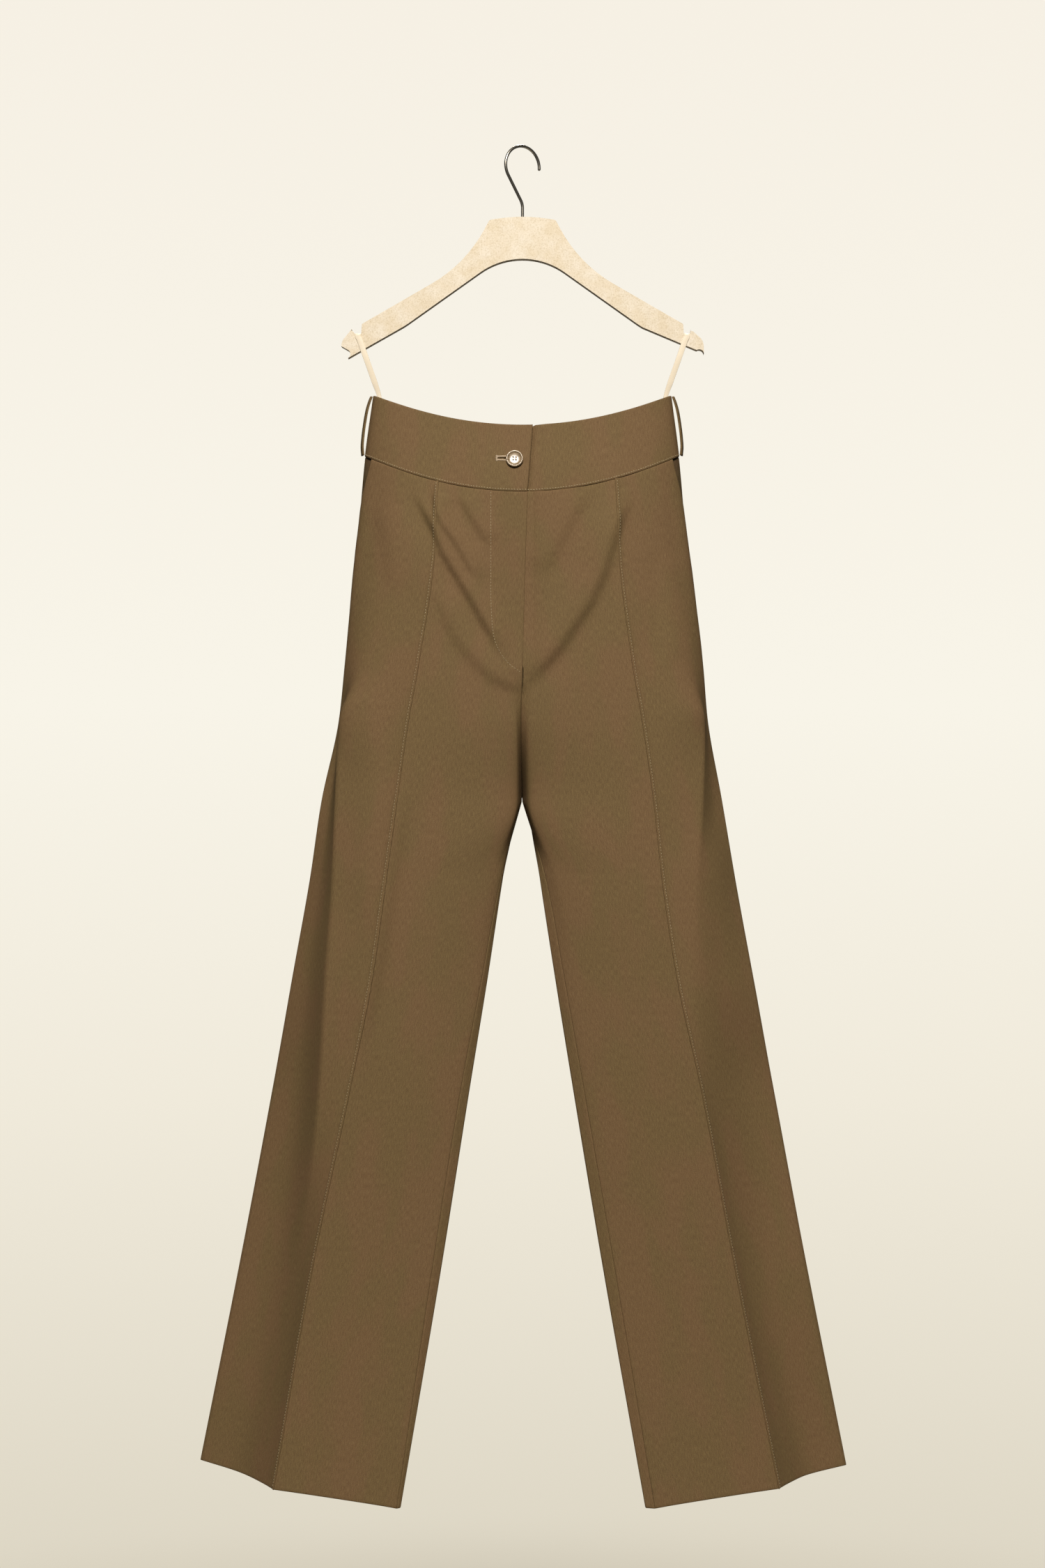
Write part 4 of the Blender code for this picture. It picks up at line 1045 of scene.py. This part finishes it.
def extrude(x, y, z):
    """Extrude what is selected by so many millimetres."""
    bpy.ops.mesh.extrude_region_move(
        TRANSFORM_OT_translate={"value": (x * MM, y * MM, z * MM)})


def end_edit():
    """Leave edit mode with all faces turned outwards."""
    bpy.ops.mesh.select_all(action="SELECT")
    bpy.ops.mesh.normals_make_consistent(inside=False)
    bpy.ops.object.mode_set(mode="OBJECT")


board = start_with("hanger_board", "plane", size=0.001)
bpy.ops.mesh.merge(type="CENTER")
first = outline[0]
bpy.ops.transform.translate(value=(first.x * MM, -HANGER_THICK / 2 * MM, first.y * MM))
for here, there in zip(outline, outline[1:]):
    extrude(there.x - here.x, 0, there.y - here.y)
bpy.ops.mesh.select_all(action="SELECT")
bpy.ops.mesh.edge_face_add()
extrude(0, HANGER_THICK, 0)
end_edit()
edge = board.modifiers.new("Rounded edge", "BEVEL")
edge.width, edge.segments = HANGER_EDGE * MM, 4
edge.limit_method, edge.angle_limit = "ANGLE", math.radians(60)
board.modifiers.new("Flat faces", "WEIGHTED_NORMAL").keep_sharp = True
bpy.ops.object.shade_smooth()
for modifier in list(board.modifiers):
    bpy.ops.object.modifier_apply(modifier=modifier.name)
print("board:", len(board.data.polygons), "faces")

# %% [markdown]
# The plastic is moulded from flake, so its cream is full of tiny darker and paler specks.
# Its surface is a satin moulded skin: fairly rough, with a faint grain.

# %% Speckled plastic
SPECK, CLOUDING = 1.6, 14.0             # sizes of a flake and of the drifts behind them
plastic, tree, shader = new_material("Speckled moulded polystyrene", Roughness=0.42, IOR=1.59)
spot = add(tree, "TexCoord", out="Object")
flakes = add(tree, "TexNoise", Vector=spot, Scale=1 / (SPECK * MM), Detail=3.0, Roughness=0.7)
clouds = add(tree, "TexNoise", Vector=spot, Scale=1 / (CLOUDING * MM), Detail=1.0)
cream = ramp(tree, flakes, (0.34, "cdc3ae"), (0.47, "dfd7c8"), (0.6, "e4ddd0"),
             (0.72, "ede7db"))
veil = ramp(tree, clouds, (0.3, "f6f1e6"), (0.7, "ffffff"))
feed(shader, Base_Color=add(tree, "Mix", {"data_type": "RGBA", "blend_type": "MULTIPLY"}, 2,
                            _0=1.0, _6=cream, _7=veil),
     Normal=add(tree, "Bump", Height=flakes, Strength=0.12, Distance=0.1 * MM))
board.data.materials.append(plastic)
dress(board, "hanger_plastic", "hanger_body")

# %% [markdown]
# ## Hook
#
# The hook is one length of steel wire, bent over a round former.  A ring of the wire's
# section is drawn up out of the neck, spun round each bend and closed with a rounded tip.

# %% Wire hook
WIRE, WIRE_SIDES = 3.2, 20
HOOK_RADIUS, HOOK_LEAN, HOOK_TURN = 21.5, math.radians(32), math.radians(33)
NECK_BEND, NECK_TOP, WIRE_IN_HANGER = 16.0, 73.6, 18.0
HOOK_TIP = math.radians(3)              # the tip stands this far past the half circle
WIRE_TIP = ((0.55, 0.94), (0.5, 0.8), (0.35, 0.5))  # rounding: steps ahead, and narrowing
centre_z = WIRE / 2 - HOOK_RADIUS
touch_x = -HOOK_RADIUS * math.cos(HOOK_LEAN)
touch_z = centre_z - HOOK_RADIUS * math.sin(HOOK_LEAN)
knee_z = touch_z + touch_x / math.tan(HOOK_LEAN)
bend_z = knee_z - NECK_BEND * math.tan(HOOK_LEAN / 2)
bent_x = -NECK_BEND * (1 - math.cos(HOOK_LEAN))
bent_z = bend_z + NECK_BEND * math.sin(HOOK_LEAN)
foot_z = -(NECK_TOP + WIRE_IN_HANGER)

wire = start_with("hook_wire", "circle", vertices=WIRE_SIDES, radius=WIRE / 2 * MM,
                  fill_type="NGON")
bpy.ops.transform.translate(value=(0, 0, foot_z * MM))
extrude(0, 0, bend_z - foot_z)
bpy.ops.mesh.spin(steps=7, angle=HOOK_LEAN, center=(-NECK_BEND * MM, 0, bend_z * MM),
                  axis=(0, 1, 0))
extrude(touch_x - bent_x, 0, touch_z - bent_z)
bpy.ops.mesh.spin(steps=60, angle=math.pi + HOOK_LEAN + HOOK_TIP,
                  center=(0, 0, centre_z * MM), axis=(0, -1, 0))
for ahead, wide in WIRE_TIP:
    extrude(-math.sin(HOOK_TIP) * ahead, 0, -math.cos(HOOK_TIP) * ahead)
    bpy.ops.transform.resize(value=(wide,) * 3)
bpy.ops.mesh.select_all(action="SELECT")
bpy.ops.mesh.remove_doubles(threshold=1e-6)
bpy.ops.transform.rotate(value=-HOOK_TURN, orient_axis="Z", center_override=(0, 0, 0))
end_edit()
bpy.ops.object.shade_smooth_by_angle(angle=math.radians(40))
low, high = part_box("hanger_hook")
spots = np.array([v.co for v in wire.data.vertices])
print("hook:", (spots.min(axis=0) - low).round(4), (spots.max(axis=0) - high).round(4),
      "m off the CAD one")

# %% [markdown]
# Drawn wire has fine lengthwise lines from the die and a bright, slightly satin polish.

# %% Hook steel
steel, tree, shader = new_material("Drawn steel wire, satin polish", Metallic=1.0,
                                   Base_Color=linear("b9b6ae"))
die_lines = add(tree, "TexNoise", Vector=add(tree, "TexCoord", out="Object"),
                Scale=1 / (0.6 * MM), Detail=2.0)
feed(shader, Roughness=add(tree, "MapRange", Value=die_lines, To_Min=0.22, To_Max=0.4))
wire.data.materials.append(steel)
dress(wire, "hook_steel", "hanger_hook")

# %% [markdown]
# ## Button
#
# A sew-through button turned from horn: a raised rolled rim, a shallow dish and four drilled
# holes.  It is drawn as rings that grow and shrink as a lathe would cut them, then drilled.

# %% Turned button
BUTTON_WIDE, BUTTON_THICK, BUTTON_SIDES = 18.5, 3.4, 64
BUTTON_X, BUTTON_DROP, BUTTON_SHANK = -8.4, 339.8, 0.4
BUTTON_HOLE, BUTTON_HOLE_RING = 2.0, 2.1
# Radius and height of each ring, as shares of the width and the thickness.
BUTTON_RINGS = ((0.30, 0), (0.38, 0.05), (0.44, 0.18), (0.48, 0.36), (0.498, 0.52),
                (0.5, 0.66), (0.494, 0.8), (0.48, 0.91), (0.46, 0.98), (0.44, 1.0),
                (0.42, 0.985), (0.4, 0.93), (0.385, 0.84), (0.37, 0.74), (0.35, 0.66),
                (0.32, 0.6), (0.27, 0.56), (0.20, 0.53), (0.1, 0.52))

def carve(solid, tool):
    """Cut a tool's shape out of a solid, and take the tool away."""
    bpy.ops.object.select_all(action="DESELECT")
    bpy.context.view_layer.objects.active = solid
    cut = solid.modifiers.new("Cut", "BOOLEAN")
    cut.operation, cut.solver, cut.object = "DIFFERENCE", "EXACT", tool
    bpy.ops.object.modifier_apply(modifier=cut.name)
    bpy.data.objects.remove(tool)


turned = start_with("horn_button", "circle", vertices=BUTTON_SIDES, fill_type="NGON",
                    radius=BUTTON_RINGS[0][0] * BUTTON_WIDE * MM)
for (out, height), (next_out, next_height) in zip(BUTTON_RINGS, BUTTON_RINGS[1:]):
    extrude(0, 0, (next_height - height) * BUTTON_THICK)
    bpy.ops.transform.resize(value=(next_out / out, next_out / out, 1))
end_edit()
for k in range(4):
    a = math.radians(45 + 90 * k)
    bpy.ops.mesh.primitive_cylinder_add(
        vertices=20, radius=BUTTON_HOLE / 2 * MM, depth=4 * BUTTON_THICK * MM,
        location=(BUTTON_HOLE_RING * math.cos(a) * MM, BUTTON_HOLE_RING * math.sin(a) * MM, 0))
    carve(turned, bpy.context.active_object)
turned.select_set(True)
bpy.ops.object.shade_smooth_by_angle(angle=math.radians(40))
print("button:", len(turned.data.polygons), "faces")

# %% Place on the waistband
def band_spot(x, drop):
    """Point and outward normal on the left waistband's face, by x and drop."""
    level = 0.5 * (BAND_TOP + WAIST)
    for _ in range(6):
        here = Section(LEFT, level, False).at(np.array([-x]))[0]
        level += (drop + here[2]) * 0.95
    around = np.array((-1, 0, 1))
    points, normals, _ = skin(LEFT, [level], lambda row: around - x, creased=False)
    return Vector(points[0, 1] + normals[0, 1] * BAND_PROUD), Vector(normals[0, 1])


seat, axis = band_spot(BUTTON_X, BUTTON_DROP)
across = (Vector((1, 0, 0)) - axis * axis.x).normalized()
on_band = Matrix((across, axis.cross(across), axis)).transposed().to_4x4()
on_band.translation = (seat + axis * BUTTON_SHANK) * MM
turned.data.transform(on_band)
print("button seat:", [round(v, 1) for v in seat])

# %% [markdown]
# Horn is keratin in fine layers: a warm grey-brown with streaks that run across the disc,
# polished to a clear gloss, which a coat over a mid roughness gives.

# %% Horn
horn, tree, shader = new_material("Polished buffalo horn", Roughness=0.32, IOR=1.54,
                                  Coat_Weight=0.6, Coat_Roughness=0.12)
layers = add(tree, "Mapping", Vector=add(tree, "TexCoord", out="Object"),
             Scale=(150, 150, 700), Rotation=(0, 0, math.radians(20)))
streak = add(tree, "TexNoise", Vector=layers, Scale=1.0, Detail=4.0, Distortion=0.6)
feed(shader, Base_Color=ramp(tree, streak, (0.3, "6d5a43"), (0.5, "8f7d65"), (0.7, "aa9a82")))
turned.data.materials.append(horn)
dress(turned, "horn", "button")

# %% [markdown]
# ## Thread
#
# Stitches are what makes tailoring read from close by.  Each is a short length of thread
# whose ends dive into the cloth, so one slim, low-poly bead is modelled once, and its points
# are copied along every seam.  Topstitching thread is polyester, glossier and paler than
# the wool.

# %% One stitch
bead = start_with("stitch", "uv_sphere", segments=6, ring_count=4, radius=0.5)
bpy.ops.transform.rotate(value=math.radians(90), orient_axis="Y", center_override=(0, 0, 0))
end_edit()
stitch_points = np.array([v.co for v in bead.data.vertices])
stitch_faces = [tuple(face.vertices) for face in bead.data.polygons]
bpy.data.objects.remove(bead)
print("a stitch has", len(stitch_faces), "faces")


def thread_material(name, dark, light):
    made, tree, shader = new_material(name, Roughness=0.5, Sheen_Weight=0.3)
    ply = add(tree, "TexNoise", Vector=add(tree, "TexCoord", out="Object"),
              Scale=1 / (0.5 * MM), Detail=1.0)
    feed(shader, Base_Color=ramp(tree, ply, (0.35, dark), (0.65, light)))
    return made


TOPSTITCH = thread_material("Polyester topstitch thread", "8b7c5e", "b3a482")
BUTTON_THREAD = thread_material("Buttonhole twist thread", "a39078", "c9b8a0")

# %% Rows of stitches
stitch_dice = np.random.default_rng(5)
PITCH_SPREAD, TURN_SPREAD = 0.03, 3     # of the pitch, and in degrees


def stitch_row(name, line, normals, pitch, size, material, turn=0.0, lift=0.0):
    """Stitches at an even pitch along a line that lies on the cloth.

    size is length, width and height; turn slants each one off the line, in degrees.
    """
    reach = run(line)
    places = np.arange(pitch / 2, reach[-1], pitch)
    places = places + stitch_dice.normal(0, PITCH_SPREAD * pitch, len(places))

    def between(values, offset=0.0):
        return np.column_stack([np.interp(places + offset, reach, v) for v in values.T])

    up = unit(between(normals))
    way = between(line, 0.5) - between(line, -0.5)
    way = unit(way - up * np.sum(way * up, axis=1, keepdims=True))
    beside = np.cross(up, way)
    slant = np.radians(turn + stitch_dice.normal(0, TURN_SPREAD, len(places)))[:, None]
    axes = (way * np.cos(slant) + beside * np.sin(slant),
            beside * np.cos(slant) - way * np.sin(slant), up)
    grown = stitch_points * size
    points = (between(line) + up * lift)[:, None] + sum(
        axis[:, None] * grown[:, k:k + 1] for k, axis in enumerate(axes))
    faces = [tuple(v + n * len(stitch_points) for v in face) for n in range(len(places))
             for face in stitch_faces]
    print(name, len(places), "stitches")
    return mesh_object(name, points, faces, material)

# %% Topstitching on creases and fly
FINE_STITCH, FINE_PITCH, STITCH_LIFT = (2.3, 0.55, 0.5), 3.2, 0.1
CREASE_STITCH_PLACE = 1.5
# The fly's J, from the waist seam down and round to the end of the opening.
J_LINE = ((33.6, 355.5), (33.5, 427), (33.6, 481.6), (32.5, 511.9), (30.3, 529.6),
          (23.9, 545.1), (14, 557.7), (0.8, 567))


def crease_stitches(side, name):
    drops = np.linspace(WAIST + 1.5, HEM - 2, 560)
    points, normals, _ = skin(side, drops,
                              lambda row: row.knots[CREASE] + np.array((0, CREASE_STITCH_PLACE)))
    rise = TUCK[TUCK_PLACES.index(CREASE_STITCH_PLACE)][2]
    raised = fold_rise(FRONT_FOLDS, points[:, 1])[:, None]
    line = points[:, 1] + normals[:, 1] * raised + normals[:, 0] * rise
    return stitch_row(name, line, normals[:, 1], FINE_PITCH, FINE_STITCH, TOPSTITCH,
                      lift=STITCH_LIFT)


for side, word in SIDES:
    dress(crease_stitches(side, f"{word}_crease_stitches"), "twill")

j_line = np.array(J_LINE, float)
knots = run(j_line)
fine_line = smooth(knots, j_line, np.linspace(0, knots[-1], 240))
spots = [skin(LEFT, [drop], lambda row: np.array([out])) for out, drop in fine_line]
points, normals = (np.array([spot[i][0, 0] for spot in spots]) for i in (0, 1))
points += normals * fold_rise(FRONT_FOLDS, points)[:, None]
dress(stitch_row("fly_stitches", points, normals, FINE_PITCH, FINE_STITCH, TOPSTITCH,
                 lift=STITCH_LIFT), "twill")

# %% Topstitching along the waist seam
WAIST_STITCH, WAIST_PITCH, WAIST_STITCH_UP = (2.1, 0.85, 0.7), 2.9, 2.2


def waist_stitches(side, name):
    level = WAIST - WAIST_STITCH_UP

    def places(row):
        first = -BAND_OVER_FOOT + 0.6 if side == LEFT else 2.0
        return np.linspace(first, row.knots[CENTRE], 420)

    points, normals, _ = skin(side, [level], places, creased=False)
    line = points[0] + normals[0] * BAND_PROUD
    if side == RIGHT:
        line -= normals[0] * band_under(places(Row(side, level, False)))[:, None]
    return stitch_row(name, line, normals[0], WAIST_PITCH, WAIST_STITCH, TOPSTITCH, turn=-8,
                      lift=STITCH_LIFT)


for side, word in SIDES:
    dress(waist_stitches(side, f"{word}_waist_stitches"), "twill")

# %% [markdown]
# ## Buttonhole
#
# A worked buttonhole is a slit whose two lips are covered by close cross stitches, with a
# square bar at the blind end.  The shank of the button pulls the slit open beside it.

# %% Worked buttonhole
HOLE_LEFT, HOLE_RIGHT = -27.6, -5.0
LIP_DROPS = ((336.9, 336.3), (340.4, 341.4))    # at the blind end and at the button
LIP_STITCH, LIP_PITCH = (2.0, 0.62, 0.75), 0.5
BAR_STITCH, BAR_IN, BAR_PAST = (2.6, 0.62, 0.9), 0.2, 1.4
SLIT_IN, SLIT_DEEP = 0.6, 4.0
SLIT_BLIND, SLIT_OPEN = 0.25, 1.5       # half its height at the blind end and at the button


def band_row(name, start, stop, size, lift):
    """Cross stitches on the waistband between two spots, given as x and drop."""
    spots = [band_spot(*here) for here in np.linspace(start, stop, 24)]
    line, normals = (np.array([spot[i] for spot in spots]) for i in (0, 1))
    dress(stitch_row(name, line, normals, LIP_PITCH, size, BUTTON_THREAD, turn=90, lift=lift),
          "twill")


for n, (blind, near) in enumerate(LIP_DROPS):
    band_row(f"buttonhole_lip_{n}", (HOLE_LEFT, blind), (HOLE_RIGHT, near), LIP_STITCH, 0.2)
band_row("buttonhole_bar", (HOLE_LEFT + BAR_IN, LIP_DROPS[0][0] - BAR_PAST),
         (HOLE_LEFT + BAR_IN, LIP_DROPS[1][0] + BAR_PAST), BAR_STITCH, 0.25)

slit = start_with("slit", "cube", size=1)
bpy.ops.transform.resize(value=(1, 1, 2 * SLIT_DEEP * MM))
end_edit()
middle = 0.5 * (LIP_DROPS[0][0] + LIP_DROPS[1][0])
blind_end = (*band_spot(HOLE_LEFT + SLIT_IN, middle), SLIT_BLIND)
button_end = (*band_spot(HOLE_RIGHT, middle), SLIT_OPEN)
for vertex in slit.data.vertices:
    here, out, half_open = blind_end if vertex.co.x < 0 else button_end
    up, deep = math.copysign(half_open, vertex.co.y), math.copysign(SLIT_DEEP, vertex.co.z)
    vertex.co = (here + Vector((0, 0, up)) + out * deep) * MM
slit.data.update()
bpy.ops.object.mode_set(mode="EDIT")
end_edit()
over = bpy.data.objects["waistband_left"]
faces_before = len(over.data.polygons)
carve(over, slit)
print("slit cut:", faces_before, "->", len(over.data.polygons), "faces")

# %% Thread through the button
BUTTON_STRANDS = (((0.71, 0.71), (0.71, -0.71)), ((0.95, 0.6), (0.5, -0.8)),
                  ((0.5, 0.8), (0.95, -0.6)), ((-0.71, 0.71), (-0.71, -0.71)))
STRAND_WIDE, STRAND_ARCH, STRAND_DIP, STRAND_KNOTS = 0.55, 0.35, 0.9, 9
DISH_FLOOR = 0.53 * BUTTON_THICK        # the button's face between its holes


def strand(name, start, stop):
    """A thread from hole to hole, arched over the button's dish."""
    route = []
    for t in np.linspace(0, 1, STRAND_KNOTS):
        rise = STRAND_ARCH - (STRAND_ARCH + STRAND_DIP) * abs(2 * t - 1) ** 4
        spread_out = np.array(start) * (1 - t) + np.array(stop) * t
        place = on_band @ Vector((*(spread_out * BUTTON_HOLE_RING * MM),
                                  (DISH_FLOOR + rise) * MM))
        route.append([v / MM for v in place])
    return strap(name, route, [STRAND_WIDE] * len(route), STRAND_WIDE,
                 np.array(on_band.col[0][:3]), BUTTON_THREAD, step=0.4)


for n, (start, stop) in enumerate(BUTTON_STRANDS):
    dress(strand(f"button_thread_{n}", start, stop), "twill")

# %% [markdown]
# ## The cuts
#
# Each cloth piece was cut flat before it was sewn and hung.  Its grain map lies flat in
# metres, so the widths and lengths of the cuts can be read off it.  A piece is a closed
# wall, and so the cloth's area is half of its faces.

# %% Cuts of the panels
def cut(piece, *rests_on, on=()):
    """Print the size that a hung piece of cloth was cut to, and its area."""
    corners = np.empty(2 * len(piece.data.loops))
    piece.data.uv_layers["grain"].data.foreach_get("uv", corners)
    mapped = corners.reshape(-1, 2)
    mapped = mapped[np.abs(mapped).sum(axis=1) > 0]     # the buttonhole's walls have none
    width, length = np.ptp(mapped, axis=0).tolist()
    area = min(sum(face.area for face in piece.data.polygons) / 2, width * length)
    list(on)
    print(f"{piece.name}: cut {width * 1000:.0f} x {length * 1000:.0f} mm,"
          f" {area * 1e4:.0f} cm2")


made = bpy.data.objects
RIBBONS = ("left_ribbon", "right_ribbon")
cut(made["left_front_panel"], "waistband_left",
    on=(made["left_crease_stitches"], made["fly_stitches"]))
cut(made["right_front_panel"], "waistband_right", on=(made["right_crease_stitches"],))
for word in ("left", "right"):
    cut(made[f"{word}_back_panel"], "waistband_rear")
    cut(made[f"{word}_pocket_facing"], f"waistband_{word}")
    cut(made[f"waistband_{word}"], f"{word}_ribbon", on=(made[f"{word}_waist_stitches"],))
cut(made["waistband_rear"], *RIBBONS)

# %% [markdown]
# ## Stage and light
#
# A pale, warm studio.  The camera sees the world as a cream wall, darker downwards with
# painted shade, but the world lights the garment only faintly.  A round soft box high in front
# lights it from above, so that each fold's lower flank turns dark, and a second one lights the
# back.  Both stand metres away, for an even light from waist to hem.  The floor lies well below
# the hems, so that it sends little light up, and fades into the wall's cream.

# %% Lights and world
# Colours are judged against the garment, so the plain Standard transform is used.
bpy.context.scene.view_settings.view_transform = "Standard"
# The wall's lower, darker colours are painted shade, seen by the camera only.
WALL_COLOURS_WITH_PAINTED_SHADE = ((0.0, "dcd5c3"), (0.3, "f0eadb"), (0.55, "f8f4e8"), (1.0, "f6f0e4"))
WALL_REACH = 0.26                       # slope of the sight line at the wall's end colours
FILL = 0.06                             # the world's own light on the garment
FLOOR_DROP, FLOOR_RADIUS, FLOOR_FADE = 1.95, 6.0, (0.5, 2.0)


def soft_box(name, place, target, size, power):
    """A round soft box that faces the garment."""
    data = bpy.data.lights.new(name, "AREA")
    data.shape, data.size, data.energy = "DISK", size, power
    data.color = linear("fff5e6")[:3]
    lamp = bpy.data.objects.new(name, data)
    lamp.location = place
    aim = Vector(target) - Vector(place)
    lamp.rotation_euler = aim.to_track_quat("-Z", "Y").to_euler()
    bpy.context.scene.collection.objects.link(lamp)


soft_box("Key", (0, -5.8, 3.6), (0, 0, -0.6), 2.0, 640)
soft_box("Back", (0, 4.6, 4.2), (0, 0, -0.7), 2.0, 440)

world = bpy.data.worlds.new("Studio")
bpy.context.scene.world = world
world.use_nodes = True
sky = world.node_tree
sky.nodes.clear()
way = add(sky, "TexCoord", out="Generated")
height = add(sky, "MapRange", Value=add(sky, "SeparateXYZ", out="Z", Vector=way),
             From_Min=-WALL_REACH, From_Max=WALL_REACH)
seen = add(sky, "Background", Color=ramp(sky, height, *WALL_COLOURS_WITH_PAINTED_SHADE), Strength=1.0)
fill = add(sky, "Background", Color=linear("f3ecdf"), Strength=FILL)
mixed = add(sky, "MixShader", _0=add(sky, "LightPath", out="Is Camera Ray"), _1=fill, _2=seen)
feed(sky.nodes.new("ShaderNodeOutputWorld"), Surface=mixed)

bpy.ops.object.select_all(action="DESELECT")
bpy.ops.mesh.primitive_circle_add(vertices=96, radius=FLOOR_RADIUS, fill_type="TRIFAN",
                                  location=(0, 0, -FLOOR_DROP))
floor = bpy.context.active_object
floor.name = "Floor"
paint, tree, shader = new_material("Matte floor paint", Roughness=0.95,
                                   Base_Color=linear("a09a8c"))
away = add(tree, "VectorMath", {"operation": "LENGTH"}, "Value",
           _0=add(tree, "TexCoord", out="Object"))
fade = add(tree, "MapRange", {"interpolation_type": "SMOOTHSTEP"}, Value=away,
           From_Min=FLOOR_FADE[0], From_Max=FLOOR_FADE[1])
feed(tree.nodes["Material Output"],
     Surface=add(tree, "MixShader", _0=fade, _1=shader.outputs[0],
                 _2=add(tree, "BsdfTransparent")))
floor.data.materials.append(paint)
print("floor:", FLOOR_DROP, "m below the hook")
